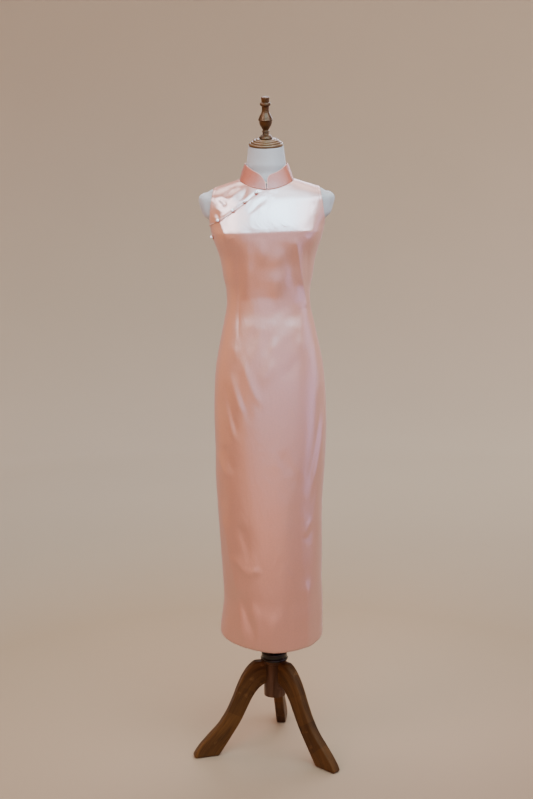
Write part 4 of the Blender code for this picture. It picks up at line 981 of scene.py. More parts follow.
frontPanel = {
    "flat": (0.50, 1.27),
    "openingDip": (0.004, 0.0004),  # how far in and how deep the opening's edge is pressed down
    "openingThin": (0.003, 0.018, 0.0006),  # over what reach and how much the wall thins towards it
    # x1 z1 x2 z2 bow width height sharp lean fade
    "folds": (
        # waist darts: a crisp groove on -X, and on +X a crisp ridge that turns in below the waist
        (-0.0765, 1.425, -0.0820, 1.118, 0.001, 0.0120, -0.0022, 1.0, 0.0, 0.30),
        (-0.0765, 1.405, -0.0820, 1.132, 0.001, 0.0012, -0.0004, 1.4, 0.0, 0.20),
        (0.0700, 1.425, 0.0990, 1.225, 0.001, 0.0100, 0.0032, 1.0, -0.2, 0.12),
        (0.0700, 1.415, 0.0990, 1.236, 0.001, 0.0013, 0.0007, 1.4, 0.0, 0.06),
        (0.0990, 1.236, 0.0820, 1.130, -0.004, 0.0090, 0.0012, 1.0, 0.0, 0.15),
        (0.0990, 1.236, 0.0820, 1.130, -0.004, 0.0014, -0.0005, 1.4, 0.0, 0.08),
        # bust, with the drag lines at the armholes and across the chest
        (-0.1260, 1.470, -0.1020, 1.408, 0.001, 0.0060, 0.0022, 1.1, 0.1, 0.22),
        (-0.1020, 1.415, -0.0820, 1.425, 0.000, 0.0040, 0.0012, 1.2, 0.0, 0.30),
        (0.1040, 1.415, 0.1080, 1.245, -0.002, 0.0110, -0.0024, 1.6, 0.0, 0.30),
        (0.0960, 1.425, 0.1300, 1.480, 0.004, 0.0120, -0.0008, 1.8, 0.0, 0.30),
        (0.0080, 1.526, -0.0500, 1.472, -0.004, 0.0095, -0.0018, 1.8, 0.2, 0.35),
        (0.0040, 1.512, -0.0560, 1.460, -0.004, 0.0080, 0.0010, 1.8, 0.0, 0.35),
        (0.0050, 1.532, 0.0200, 1.521, 0.000, 0.0028, 0.0006, 1.5, 0.0, 0.30),
        (0.0000, 1.535, 0.0130, 1.526, 0.000, 0.0024, 0.0005, 1.5, 0.0, 0.30),
        (0.0880, 1.436, 0.1150, 1.431, 0.001, 0.0024, 0.0006, 1.4, 0.0, 0.30),
        (0.0920, 1.430, 0.1120, 1.424, 0.001, 0.0022, -0.0005, 1.4, 0.0, 0.30),
        (0.0950, 1.424, 0.1060, 1.412, 0.001, 0.0022, 0.0005, 1.4, 0.0, 0.30),
        # under the bust
        (-0.0140, 1.424, -0.0200, 1.335, 0.003, 0.0170, 0.0036, 2.0, 0.0, 0.48),
        (-0.0500, 1.412, -0.0460, 1.310, 0.000, 0.0140, 0.0022, 1.8, 0.0, 0.40),
        (0.0300, 1.405, 0.0160, 1.330, 0.002, 0.0180, 0.0030, 2.0, 0.0, 0.48),
        (0.0290, 1.360, 0.0160, 1.240, -0.004, 0.0200, 0.0048, 1.8, 0.2, 0.48),
        (-0.0500, 1.370, -0.0560, 1.250, 0.000, 0.0120, 0.0030, 1.8, 0.0, 0.40),
        (0.0560, 1.400, 0.0640, 1.262, 0.002, 0.0150, -0.0030, 1.8, 0.0, 0.45),
        # breaks at the waist
        (-0.0830, 1.252, 0.0220, 1.268, 0.003, 0.0130, -0.0008, 1.3, 0.0, 0.20),
        (0.0960, 1.256, -0.0020, 1.222, -0.003, 0.0150, -0.0010, 1.6, 0.2, 0.30),
        (0.0900, 1.238, 0.0100, 1.209, -0.003, 0.0120, 0.0004, 1.8, 0.0, 0.30),
        # below the waist, running down towards -X
        (0.0720, 1.214, 0.0340, 1.150, 0.002, 0.0160, 0.0007, 2.0, 0.2, 0.45),
        (0.0420, 1.190, -0.0020, 1.110, 0.002, 0.0160, 0.0010, 2.0, 0.2, 0.45),
        (0.0640, 1.160, 0.0260, 1.138, 0.002, 0.0130, -0.0004, 2.0, 0.0, 0.40),
        (0.0800, 1.125, 0.0300, 1.050, 0.003, 0.0180, -0.0024, 1.8, 0.0, 0.40),
        (0.0120, 1.172, 0.0040, 1.098, 0.002, 0.0140, 0.0012, 2.0, 0.0, 0.50),
        (0.0300, 1.120, -0.0300, 1.030, -0.004, 0.0180, 0.0030, 1.8, 0.0, 0.40),
        (0.0920, 1.165, 0.0820, 1.120, 0.000, 0.0100, 0.0006, 1.8, -0.2, 0.45),
        (0.1060, 1.230, 0.1240, 1.150, 0.002, 0.0090, 0.0010, 1.6, 0.2, 0.40),
        (0.1180, 1.146, 0.1190, 1.112, 0.001, 0.0034, 0.0005, 1.5, 0.0, 0.30),
        (0.1070, 1.146, 0.1080, 1.128, 0.000, 0.0030, 0.0004, 1.5, 0.0, 0.30),
        (-0.0380, 1.200, -0.0600, 1.110, 0.004, 0.0150, -0.0018, 1.8, 0.0, 0.45),
        (0.0000, 1.185, -0.0180, 1.105, 0.003, 0.0120, -0.0020, 1.8, 0.0, 0.45),
        (-0.0840, 1.140, -0.0780, 1.112, 0.001, 0.0055, 0.0003, 1.4, 0.2, 0.40),
        # hip drags, wearer's right
        (-0.0720, 1.120, -0.0170, 0.975, -0.007, 0.0120, 0.0026, 1.8, -0.1, 0.28),
        (-0.0930, 1.150, -0.0800, 1.090, -0.001, 0.0090, 0.0013, 1.8, 0.0, 0.45),
        (-0.1030, 1.080, -0.0640, 0.950, -0.005, 0.0100, 0.0026, 1.8, 0.0, 0.28),
        (-0.0880, 1.060, -0.0420, 0.930, -0.005, 0.0110, -0.0012, 1.8, 0.0, 0.30),
        (-0.1210, 1.060, -0.0830, 0.900, -0.005, 0.0090, -0.0026, 1.5, 0.0, 0.25),
        (-0.1160, 0.998, -0.0880, 0.880, -0.004, 0.0080, 0.0024, 1.7, 0.0, 0.30),
        (-0.1350, 1.025, -0.1050, 0.879, -0.004, 0.0090, -0.0022, 1.5, 0.0, 0.25),
        (-0.1280, 0.885, -0.0960, 0.800, -0.003, 0.0100, -0.0024, 1.5, 0.3, 0.28),
        (-0.1440, 0.860, -0.1100, 0.785, -0.003, 0.0080, 0.0024, 1.6, 0.0, 0.30),
        (-0.1430, 0.790, -0.1200, 0.700, -0.002, 0.0120, -0.0016, 2.0, 0.0, 0.35),
        # hip drag, wearer's left
        (0.1400, 1.035, 0.0900, 0.740, 0.006, 0.0095, -0.0026, 1.5, -0.25, 0.22),
        (0.1450, 0.975, 0.1050, 0.755, 0.005, 0.0085, 0.0025, 1.6, 0.0, 0.25),
        (0.1350, 0.900, 0.1000, 0.690, 0.004, 0.0070, -0.0012, 1.6, 0.0, 0.30),
        # thighs and knees
        (0.0200, 0.870, 0.0500, 0.795, 0.000, 0.0150, -0.0008, 2.0, 0.2, 0.40),
        (0.0600, 0.860, 0.0800, 0.770, 0.000, 0.0120, 0.0007, 2.0, 0.0, 0.40),
        (0.0000, 0.880, 0.0200, 0.800, 0.000, 0.0120, 0.0006, 2.0, 0.0, 0.40),
        (-0.0620, 0.892, -0.0060, 0.890, 0.001, 0.0030, 0.0003, 1.6, 0.0, 0.30),
        (0.0300, 0.697, 0.0660, 0.696, 0.001, 0.0030, 0.0003, 1.6, 0.0, 0.30),
        (-0.1340, 0.695, -0.1120, 0.560, 0.002, 0.0110, 0.0026, 1.7, 0.2, 0.30),
        (-0.1200, 0.580, -0.0700, 0.522, 0.008, 0.0100, 0.0022, 1.7, 0.2, 0.35),
        (-0.0800, 0.526, -0.0260, 0.545, 0.004, 0.0100, 0.0016, 1.8, 0.0, 0.35),
        (-0.0950, 0.680, -0.0580, 0.560, 0.004, 0.0180, -0.0026, 1.8, 0.2, 0.35),
        (0.1080, 0.682, 0.0800, 0.628, -0.002, 0.0070, 0.0014, 1.5, 0.2, 0.35),
        (0.1160, 0.660, 0.0860, 0.610, -0.002, 0.0080, -0.0010, 1.6, 0.0, 0.35),
        # folds that run out at the hem
        (-0.1230, 0.600, -0.0840, 0.322, 0.010, 0.0120, 0.0030, 1.6, 0.2, 0.18),
        (-0.1080, 0.500, -0.0480, 0.340, 0.006, 0.0120, -0.0020, 1.7, 0.0, 0.30),
        (-0.0600, 0.470, -0.0400, 0.318, 0.004, 0.0130, 0.0014, 1.8, 0.0, 0.30),
        (0.0000, 0.430, -0.0080, 0.300, 0.000, 0.0140, 0.0018, 1.8, 0.0, 0.30),
        (0.0400, 0.470, 0.0450, 0.300, 0.000, 0.0140, -0.0015, 1.8, 0.0, 0.30),
        (0.0920, 0.520, 0.0900, 0.300, 0.000, 0.0130, 0.0034, 1.6, 0.1, 0.20),
        (0.1180, 0.500, 0.1160, 0.300, 0.000, 0.0110, -0.0015, 1.8, 0.0, 0.30),
    ),
}
backPanel = {
    "flat": (0.50, 1.27),
    "folds": (
        # darts, each a groove on a broad swell, then the waist, the hips, the skirt and the shoulder blades
        (-0.062, 1.372, -0.058, 1.120, 0.002, 0.0026, -0.0013, 1.4, 0.0, 0.10),
        (0.062, 1.372, 0.058, 1.120, -0.002, 0.0026, -0.0013, 1.4, 0.0, 0.10),
        (-0.062, 1.372, -0.058, 1.120, 0.002, 0.0090, 0.0012, 1.6, 0.0, 0.20),
        (0.062, 1.372, 0.058, 1.120, -0.002, 0.0090, 0.0012, 1.6, 0.0, 0.20),
        (-0.095, 1.262, 0.025, 1.252, 0.002, 0.0070, -0.0024, 1.4, 0.2, 0.30),
        (-0.070, 1.278, 0.010, 1.272, 0.002, 0.0080, 0.0014, 1.8, 0.0, 0.35),
        (0.092, 1.240, -0.020, 1.228, 0.002, 0.0070, -0.0022, 1.4, 0.2, 0.30),
        (0.070, 1.214, -0.030, 1.205, 0.001, 0.0080, -0.0014, 1.6, 0.0, 0.35),
        (0.132, 1.060, 0.075, 0.880, -0.006, 0.0095, -0.0030, 1.6, 0.2, 0.30),
        (0.110, 1.080, 0.060, 0.960, -0.004, 0.0085, 0.0018, 1.8, 0.0, 0.30),
        (-0.132, 1.040, -0.080, 0.840, 0.006, 0.0095, -0.0030, 1.6, -0.2, 0.30),
        (-0.105, 1.070, -0.055, 0.930, 0.004, 0.0085, 0.0018, 1.8, 0.0, 0.30),
        (0.138, 0.940, 0.098, 0.790, -0.004, 0.0080, 0.0028, 1.7, 0.0, 0.30),
        (-0.140, 0.900, -0.105, 0.760, 0.004, 0.0080, 0.0024, 1.7, 0.0, 0.30),
        (-0.055, 0.820, -0.095, 0.460, -0.008, 0.0130, 0.0034, 1.8, 0.2, 0.30),
        (-0.020, 0.760, -0.060, 0.430, -0.006, 0.0120, -0.0020, 1.8, 0.0, 0.30),
        (0.060, 0.760, 0.090, 0.310, 0.006, 0.0140, 0.0038, 1.8, 0.2, 0.20),
        (0.100, 0.700, 0.118, 0.320, 0.003, 0.0110, -0.0022, 1.8, 0.0, 0.25),
        (-0.012, 0.600, -0.030, 0.310, 0.0, 0.0140, 0.0028, 1.8, 0.0, 0.25),
        (0.030, 0.560, 0.036, 0.310, 0.0, 0.0120, -0.0018, 1.8, 0.0, 0.25),
        (-0.105, 0.480, -0.095, 0.310, 0.0, 0.0110, 0.0032, 1.7, 0.0, 0.22),
        (0.110, 1.490, 0.040, 1.420, 0.006, 0.0120, -0.0020, 1.8, 0.0, 0.35),
        (-0.110, 1.490, -0.040, 1.420, -0.006, 0.0120, -0.0020, 1.8, 0.0, 0.35),
    ),
}
underPanel = {
    "flat": (0.19, 0.17),
    "lap": 0.014,
    "end": 275.0,
    "sink": 0.0014,  # how far it lies under the front along the opening
    "rise": (0.000, 0.014),  # heights above the opening over which that fades
    "side": (182.0, 205.0),
    "sideSink": 0.55,  # the share of it left at the side seam
    "foldFade": 0.012,
    "folds": (
        (-0.070, 1.552, -0.110, 1.520, -0.006, 0.0080, -0.0026, 1.6, 0.2, 0.35),
        (-0.060, 1.545, -0.098, 1.508, -0.005, 0.0070, 0.0018, 1.7, 0.0, 0.35),
        (-0.130, 1.522, -0.102, 1.497, 0.004, 0.0070, -0.0024, 1.6, 0.2, 0.35),
        (-0.138, 1.500, -0.112, 1.483, 0.002, 0.0060, 0.0014, 1.7, 0.0, 0.35),
        (-0.050, 1.552, -0.072, 1.512, 0.004, 0.0070, -0.0018, 1.7, 0.0, 0.35),
        (-0.134, 1.488, -0.118, 1.463, 0.0, 0.0050, -0.0016, 1.6, 0.0, 0.35),
        (-0.128, 1.470, -0.105, 1.462, 0.0, 0.0045, 0.0012, 1.6, 0.0, 0.35),
    ),
}

allStitches = []


def stitchesAlong(path, normals, length=0.0026, pitch=0.0034, radius=0.00022, lift=0.00008):
    # short rounded threads lying end to end along a path
    path, normals = np.asarray(path), np.asarray(normals)
    steps = lengthsAlong(path)

    def at(values, where):
        return np.array([np.interp(where, steps, values[:, k]) for k in range(3)])

    for middle in np.arange(pitch, steps[-1] - pitch / 2, pitch):
        a, b = at(path, middle - length / 2), at(path, middle + length / 2)
        allStitches.append((a, b, unit(at(normals, middle)), radius, lift))


def makeStitches():
    # each stitch is four small rings of points, drawn in at both ends
    sides = 5
    points, faces = [], []
    for a, b, normal, radius, lift in allStitches:
        along = b - a
        side = unit(np.cross(along, normal))
        start = len(points)
        for share, size, rise in ((0.0, 0.35, -0.6), (0.2, 1.0, 0.6), (0.8, 1.0, 0.6), (1.0, 0.35, -0.6)):
            centre = a + along * share + normal * (lift + radius * rise)
            for k in range(sides):
                turn = math.tau * k / sides
                points.append(centre + radius * size * (math.cos(turn) * side + math.sin(turn) * normal))
        for low in range(start, start + 3 * sides, sides):
            for k in range(sides):
                m = (k + 1) % sides
                faces.append((low + k, low + sides + k, low + sides + m, low + m))
        faces.append([start + k for k in range(sides)])
        faces.append([start + 4 * sides - 1 - k for k in range(sides)])
    newObject("sewingStitches", points, faces, [sewingThread])
    print("stitches:", len(allStitches))


hookAndEye = {
    "rise": 0.0195,  # up the collar's front edge
    "inset": 0.0032,
    "wire": 0.00042,
    "sides": 8,
    "reach": 0.0050,
    "bend": 0.0011,
    "bendStart": 0.3,
    "tip": (-0.00088, 0.0006),
    "ring": 0.0016,
}


def makeHookAndEye():
    # a wire hook on one collar end caught in a wire ring on the other, behind the gap between them
    h = hookAndEye
    bend, ring = h["bend"], h["ring"]
    base = bodyPoint(270.0, necklineHeight(270.0)) + (0, 0, collar["lift"])
    top = np.array([0.0, -collar["topFront"], base[2] + collar["height"]])
    up = unit(top - base)
    back = np.array([0.0, up[2], -up[1]])
    centre = base + up * h["rise"] + back * h["inset"]
    across = np.array([1.0, 0.0, 0.0])
    hook = [across * x for x in np.linspace(h["reach"], -bend, 12)]
    hook += [
        across * (-bend - bend * math.sin(turn)) - back * bend * (1 - math.cos(turn))
        for turn in np.linspace(h["bendStart"], math.pi, 12)
    ]
    hook += [across * x - back * 2 * bend for x in np.linspace(*h["tip"], 5)]
    eye = [
        -across * (ring + ring * math.cos(turn)) + up * ring * math.sin(turn) - back * bend
        for turn in np.linspace(0, math.tau, 24, endpoint=False)
    ]
    for name, path, normal, closed in (("collarHook", hook, up, False), ("collarEye", eye, back, True)):
        facing = np.tile(normal, (len(path), 1))
        makeCord(name, hookMetal, path + centre, facing, h["wire"], h["wire"], h["sides"], closed)
    print("hook and eye")


def panelRows(grid):
    # the rows at which a front or back panel's slits end and its armholes start
    m = clothMesh
    slitRow = int(np.argmax(grid[:, 0, 2] > dressShape["slitTop"]))
    return slitRow, m["skirtRows"] + m["hipRows"] + m["sideRows"]


def makeFront():
    f = frontPanel
    domain = frontDomain()
    grid = folded(bodyPoint(domain[..., 0], domain[..., 1]), f["folds"])
    slitRow, armStart = panelRows(grid)
    neckStart = clothMesh["openingColumns"]
    neckEnd = neckStart + clothMesh["necklineColumns"]
    turned = [grid[armStart:, -1], grid[: slitRow + 1, 0], grid[: slitRow + 1, -1]]
    seams = [grid[slitRow:, 0], grid[slitRow : armStart + 1, -1]]
    seams += [grid[-1, neckEnd:], grid[-1, neckStart : neckEnd + 1]]
    fromOpening = nearest(grid, finerEdge(grid[-1, : neckStart + 1]))
    reach, dip = f["openingDip"]
    lift = sewnLift(grid, turned, seams, grid[0]) - dip * (1 - softStep(0.0, reach, fromOpening))
    normals = gridNormals(grid)
    outer = grid + normals * lift[..., None]
    start, end, thinner = f["openingThin"]
    inner = wallBehind(grid, dressShape["wall"] - thinner * (1 - softStep(start, end, fromOpening)))
    hangSheet("frontPanel", "front_panel", grid, outer, inner)
    stitchesAlong(insetPath(outer[armStart:], sewing["stitchLine"]), normals[armStart:, -1])


def makeBack():
    domain = backDomain()
    grid = folded(bodyPoint(domain[..., 0], domain[..., 1]), backPanel["folds"])
    slitRow, armStart = panelRows(grid)
    shoulders = clothMesh["backShoulderColumns"]
    turned = [grid[armStart:, 0], grid[armStart:, -1], grid[: slitRow + 1, 0], grid[: slitRow + 1, -1]]
    seams = [grid[slitRow : armStart + 1, 0], grid[slitRow : armStart + 1, -1]]
    seams += [grid[-1, : shoulders + 1], grid[-1, -shoulders - 1 :], grid[-1, shoulders:-shoulders]]
    lift = sewnLift(grid, turned, seams, grid[0])
    normals = gridNormals(grid)
    outer = grid + normals * lift[..., None]
    inner = wallBehind(grid, dressShape["wall"])
    hangSheet("backPanel", "back_panel", grid, outer, inner)
    stitchesAlong(insetPath(outer[armStart:], sewing["stitchLine"]), normals[armStart:, -1])
    stitchesAlong(insetPath(outer[armStart:, ::-1], sewing["stitchLine"]), normals[armStart:, 0])


def makeUnder():
    u = underPanel
    armStart = clothMesh["lapRows"]
    bearing, height = np.moveaxis(underDomain(), -1, 0)
    base = folded(bodyPoint(bearing, height), frontPanel["folds"])
    above = height - openingHeight(np.minimum(bearing, 270.0))
    atSide = u["sideSink"]
    share = atSide + (1 - atSide) * softStep(*u["side"], bearing)
    sink = u["sink"] * (1 - softStep(*u["rise"], above)) * share
    own = foldLift(base[..., 0], base[..., 2], u["folds"]) * softStep(0.0, u["foldFade"], above)
    normals = gridNormals(base)
    grid = base + normals * (own - sink)[..., None]
    lift = sewnLift(grid, [grid[armStart:, 0]], [grid[-1], grid[armStart:, -1]])
    outer = grid + normals * lift[..., None]
    inner = wallBehind(grid, dressShape["wall"])
    hangSheet("underPanel", "under_panel", grid, outer, inner)
    stitchesAlong(insetPath(outer[armStart:, ::-1], sewing["stitchLine"]), normals[armStart:, 0])


# collar
collar = {
    "height": 0.0370,
    "wall": 0.0018,
    "lift": 0.0005,
    "topHalfWidth": 0.0565,
    "topFront": 0.0615,
    "topBack": 0.0530,
    "gap": 1.5,  # degrees from the middle of the front to each end
    "ends": (0.006, 0.022),  # how tall the ends are, -X first
    "rounding": (25.0, 12.0),  # the bearings over which their corners are rounded
    "bulge": 0.0009,
    "columns": 220,
    "rows": 26,
    "roll": 0.0003,
    "flat": (0.40, 0.040),
    "piping": (0.0012, 0.00138),
    "pipingSides": 10,
}


def collarGrid():
    c = collar
    starts = 270 - c["gap"], 270 + c["gap"] - 360
    flat = starts[0] - c["rounding"][0], starts[1] + c["rounding"][1]
    corner = c["columns"] // 5
    bearings = np.concatenate(
        [
            np.linspace(starts[0], flat[0], corner, endpoint=False),
            np.linspace(*flat, c["columns"] - 2 * corner),
            np.linspace(flat[1], starts[1], corner + 1)[1:],
        ]
    )
    grid = []
    for bearing in bearings:
        base = bodyPoint(bearing, necklineHeight(bearing % 360))
        base[2] += c["lift"]
        turn = math.radians(bearing)
        depth = c["topFront"] if math.sin(turn) < 0 else c["topBack"]
        top = np.array([c["topHalfWidth"] * math.cos(turn), depth * math.sin(turn), base[2] + c["height"]])
        side = 0 if bearing > 90 else 1
        share = min(1.0, min(starts[0] - bearing, bearing - starts[1]) / c["rounding"][side])
        least = c["ends"][side] / c["height"]
        reach = least + (1 - least) * math.sqrt(max(0.0, 1 - (1 - share) ** 2))
        steps = np.linspace(0, 1, c["rows"] + 1)[:, None] * reach
        bulge = np.sin(np.pi * steps / max(reach, 0.01)) * c["bulge"] * reach
        out = np.array([math.cos(turn), math.sin(turn), 0.0])
        grid.append(base + (top - base) * steps + out * bulge)
    return np.array(grid).transpose(1, 0, 2)


def makeCord(name, material, path, normals, widths, depths, sides, closed):
    # widths lie across the normals and depths along them
    path, normals = np.asarray(path), np.asarray(normals)
    count = len(path)
    ahead = np.roll(path, -1, axis=0) - np.roll(path, 1, axis=0)
    if not closed:
        ahead[0], ahead[-1] = path[1] - path[0], path[-1] - path[-2]
    across = unit(np.cross(ahead, normals))
    rise = unit(np.cross(across, ahead))
    widths, depths = np.broadcast_to(widths, count), np.broadcast_to(depths, count)
    turns = math.tau * np.arange(sides) / sides
    points = (
        path[:, None]
        + across[:, None] * np.cos(turns)[None, :, None] * widths[:, None, None]
        + rise[:, None] * np.sin(turns)[None, :, None] * depths[:, None, None]
    ).reshape(-1, 3)
    faces = []
    for i in range(count if closed else count - 1):
        j = (i + 1) % count
        for k in range(sides):
            m = (k + 1) % sides
            faces.append((i * sides + k, i * sides + m, j * sides + m, j * sides + k))
    if not closed:
        faces.append(list(range(sides - 1, -1, -1)))
        faces.append([(count - 1) * sides + k for k in range(sides)])
    steps = lengthsAlong(path)
    cut = np.stack([np.repeat(steps, sides), np.tile(turns * 0.001, count)], axis=-1)
    cord = newObject(name, points, faces, [material], cut=cut)
    outwardFaces(cord)
    return cord


def makeCollar():
    c = collar
    grid = collarGrid()
    normals = gridNormals(grid)
    inner = wallBehind(grid, c["wall"])
    outer = grid + normals * sewnLift(grid, [], [grid[0]])[..., None]
    roll = np.full(len(rimOf(*grid.shape[:2])), c["roll"])
    # the collar wears the darker satin, whose colour is painted shade
    piece = clothObject("collar", outer, inner, cutPlacesOf(outer), roll, shadedCollarSatin)
    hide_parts("collar")
    # the piping runs up one end, along the top and down the other end
    middle = (outer + inner) / 2
    path = np.concatenate([middle[1:-1:3, 0], middle[-1], middle[-2:0:-3, -1]])
    facing = np.concatenate([normals[1:-1:3, 0], normals[-1], normals[-2:0:-3, -1]])
    shape = *c["piping"], c["pipingSides"], False  # widths, depths, sides, closed
    piping = makeCord("collarPiping", pipingSatin, smoothPath(path, 3), facing, *shape)
    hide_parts("collar_piping")


def smoothPath(path, times):
    path = np.array(path)
    for _ in range(times):
        path[1:-1] = (path[:-2] + 2 * path[1:-1] + path[2:]) / 4
    return path


# pearl buttons and their loops
buttons = {
    "places": ((251.6, 1.5330), (237.1, 1.5110), (225.5, 1.4890), (212.0, 1.4650), (196.0, 1.4240)),
    "pearl": 0.0040,
    "squash": 0.95,
    "drilled": 0.10,  # how far the end that the thread goes into is flattened, as a share of the radius
    "lift": 0.0009,
    "loop": 0.0037,
    "tail": 0.0017,
    "cord": 0.0013,
    "loopPoints": 40,
    "cordSides": 10,
    "ties": (-0.0009, 0.0, 0.0009),
    "tieReach": 0.0013,
    "tieThread": (0.00028, 0.0007),
}


def surfaceFrame(bearing, height):
    # a spot on the front, the way out of the cloth, and the way down across the opening's edge
    step = 0.005
    near = bodyPoint(*np.meshgrid((bearing, bearing + 1), (height, height + step)))
    spot, normal = near[0, 0], gridNormals(near)[0, 0]
    rise = openingHeight(bearing + 1) - openingHeight(bearing)
    edge = near[0, 1] - spot + (near[1, 0] - spot) * rise / step
    down = unit(np.cross(edge, normal))
    lift = foldLift(spot[0], spot[2], frontPanel["folds"])
    return spot + normal * lift, normal, down if down[2] < 0 else -down


def makePearlBead():
    b = buttons
    bpy.ops.object.select_all(action="DESELECT")
    bpy.ops.mesh.primitive_uv_sphere_add(segments=32, ring_count=20, radius=b["pearl"], location=(0, 0, 0))
    bead = bpy.context.object
    editAll()
    bpy.ops.transform.resize(value=(1.0, 1.0, b["squash"]), center_override=(0, 0, 0))
    bpy.ops.mesh.select_all(action="DESELECT")
    bpy.ops.object.mode_set(mode="OBJECT")
    for vertex in bead.data.vertices:
        vertex.select = vertex.co.z < -b["pearl"] * (1 - b["drilled"])
    bpy.ops.object.mode_set(mode="EDIT")
    bpy.ops.transform.translate(value=(0, 0, b["pearl"] * b["drilled"]))
    bpy.ops.object.mode_set(mode="OBJECT")
    bpy.ops.object.shade_smooth()
    bead.data.materials.append(pearl)
    return bead


def makeLoop(number, spot, normal, down, across):
    b = buttons
    path = []
    for turn in math.tau * np.arange(b["loopPoints"]) / b["loopPoints"]:
        below = max(0.0, math.cos(turn))
        drop = math.cos(turn) * b["loop"] + below * below * b["tail"]
        offset = across * math.sin(turn) * b["loop"] + down * drop
        path.append(spot + offset + normal * (b["lift"] + b["cord"] / 2))
    facing = np.tile(normal, (len(path), 1))
    shape = b["cord"], b["cord"], b["cordSides"], True  # widths, depths, sides, closed
    loop = makeCord(f"buttonLoop{number}", loopCord, path, facing, *shape)
    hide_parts(f"button_loop_{number}")
    side = across * b["tieReach"]
    for shift in b["ties"]:
        tie = spot + down * (b["loop"] + b["tail"] - shift) + normal * b["lift"]
        allStitches.append((tie - side, tie + side, normal, *b["tieThread"]))


def makeButtons():
    b = buttons
    beads = []
    for number, place in enumerate(b["places"], 1):
        bead = copyOf(beads[0]) if beads else makePearlBead()
        beads.append(bead)
        bead.name = bead.data.name = f"pearlButton{number}"
        spot, normal, down = surfaceFrame(*place)
        across = np.cross(down, normal)
        makeLoop(number, spot, normal, down, across)
        centre = Vector(spot + column + normal * (b["lift"] + b["pearl"]))
        turn = Matrix((Vector(across), Vector(down), Vector(normal))).transposed()
        bead.matrix_world = Matrix.Translation(centre) @ turn.to_4x4()
    applyPlaces(*beads)
    for number, bead in enumerate(beads, 1):
        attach(bead, "form")
        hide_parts(f"pearl_button_{number}")
    print("pearl buttons and loops")


# the form
form = {
    "heights": (0.735, 1.40, 1.6535),  # the bottom, where the rings get closer, and the neck's top
    "columns": 128,
    "rings": (80, 110),
    "clearance": (0.0080, 0.0058),
    "underBust": (1.330, 1.400),
    "shoulderClearance": 0.0005,
    "shoulderRest": (1.535, 1.545, 1.556, 1.566),
    "shoulderDepth": 0.012,
    "neckFade": (1.580, 1.605),
    "stumpHeights": (1.455, 1.480),
    "stumpWidths": (0.150, 0.166),
    "neckSlant": 1.600,
    "neckTopY": -0.0085,
    "capTilt": 13.0,
    "seam": (0.0012, 0.0004),
    "bottomRings": (0.55, 0.97),
    "topRings": (0.96, 0.5),
    "coverGirth": 0.14,  # metres of cover to a radian
}


def formClearance(surface):
    f = form
    x, y, z = np.moveaxis(surface, -1, 0)
    below, above = f["clearance"]
    clearance = below + (above - below) * softStep(*f["underBust"], z)
    start, full, ending, gone = f["shoulderRest"]
    resting = softStep(start, full, z) * (1 - softStep(ending, gone, z))
    resting = resting * np.exp(-((y / f["shoulderDepth"]) ** 2))
    clearance = clearance + (f["shoulderClearance"] - clearance) * resting
    stump = softStep(*f["stumpHeights"], z) * softStep(*f["stumpWidths"], np.abs(x))
    return (dressShape["wall"] + clearance) * (1 - softStep(*f["neckFade"], z)) * (1 - stump)


def inward(ring, share):
    centre = ring.mean(axis=0)
    return centre + (ring - centre) * share


def makeForm():
    f = form
    low, closer, high = f["heights"]
    lower = np.linspace(low, closer, f["rings"][0], endpoint=False)
    heights = np.concatenate([lower, np.linspace(closer, high, f["rings"][1])])
    bearings = np.arange(-1, f["columns"] + 2) * 360 / f["columns"]
    surface = bodyPoint(*np.meshgrid(bearings, heights))
    rings = (surface - gridNormals(surface) * formClearance(surface)[..., None])[:, 1:-2]
    rings[0, :, 2] = low
    slant = softStep(f["neckSlant"], high, rings[..., 2])
    rings[..., 2] += slant * math.tan(math.radians(f["capTilt"])) * (rings[..., 1] - f["neckTopY"])
    # a sewn cover: faint seams down the sides and the middle of the back
    x, y = rings[..., 0], rings[..., 1]
    seams = groove(y, f["seam"]) + groove(x, f["seam"]) * (y > 0)
    outward = rings * (1, 1, 0)
    outward /= np.maximum(np.linalg.norm(outward, axis=2, keepdims=True), 1e-6)
    rings = rings - outward * seams[..., None]
    # the bottom and the neck's top close with two smaller rings each
    bottom = [inward(rings[0], share) for share in f["bottomRings"]]
    top = [inward(rings[-1], share) for share in f["topRings"]]
    stack = np.array([*bottom, *rings, *top])
    index = np.arange(len(stack) * f["columns"]).reshape(len(stack), f["columns"])
    after = np.roll(index, -1, axis=1)
    quads = np.stack([index[:-1], after[:-1], after[1:], index[1:]], axis=-1).reshape(-1, 4)
    faces = quads.tolist() + [index[0, ::-1].tolist(), index[-1].tolist()]
    turn = np.radians(np.arange(f["columns"]) * 360 / f["columns"])
    u = np.tile(np.abs(turn - math.pi) * f["coverGirth"], (len(stack), 1))
    cut = np.stack([u, stack[..., 2]], axis=-1).reshape(-1, 2)
    torso = newObject("formTorso", stack.reshape(-1, 3), faces, [formCover], cut=cut)
    outwardFaces(torso)
    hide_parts("form_torso")
    print("form")


# turned and sawn wood, and the metal column
def finerProfile(rows):
    # rows are radius, height and how many steps curve on to the next row
    places = np.array([row[:2] for row in rows])
    found = []
    for i, row in enumerate(rows):
        a = places[i]
        found.append(tuple(a))
        before, b, after = (places[min(max(k, 0), len(places) - 1)] for k in (i - 1, i + 1, i + 2))
        for k in range(1, row[2] if len(row) > 2 else 0):
            t = k / row[2]
            bend = (2 * before - 5 * a + 4 * b - after) * t**2 + (3 * a - before - 3 * b + after) * t**3
            found.append(tuple(0.5 * (2 * a + (b - before) * t + bend)))
    return found


smoothAngle = math.radians(35)


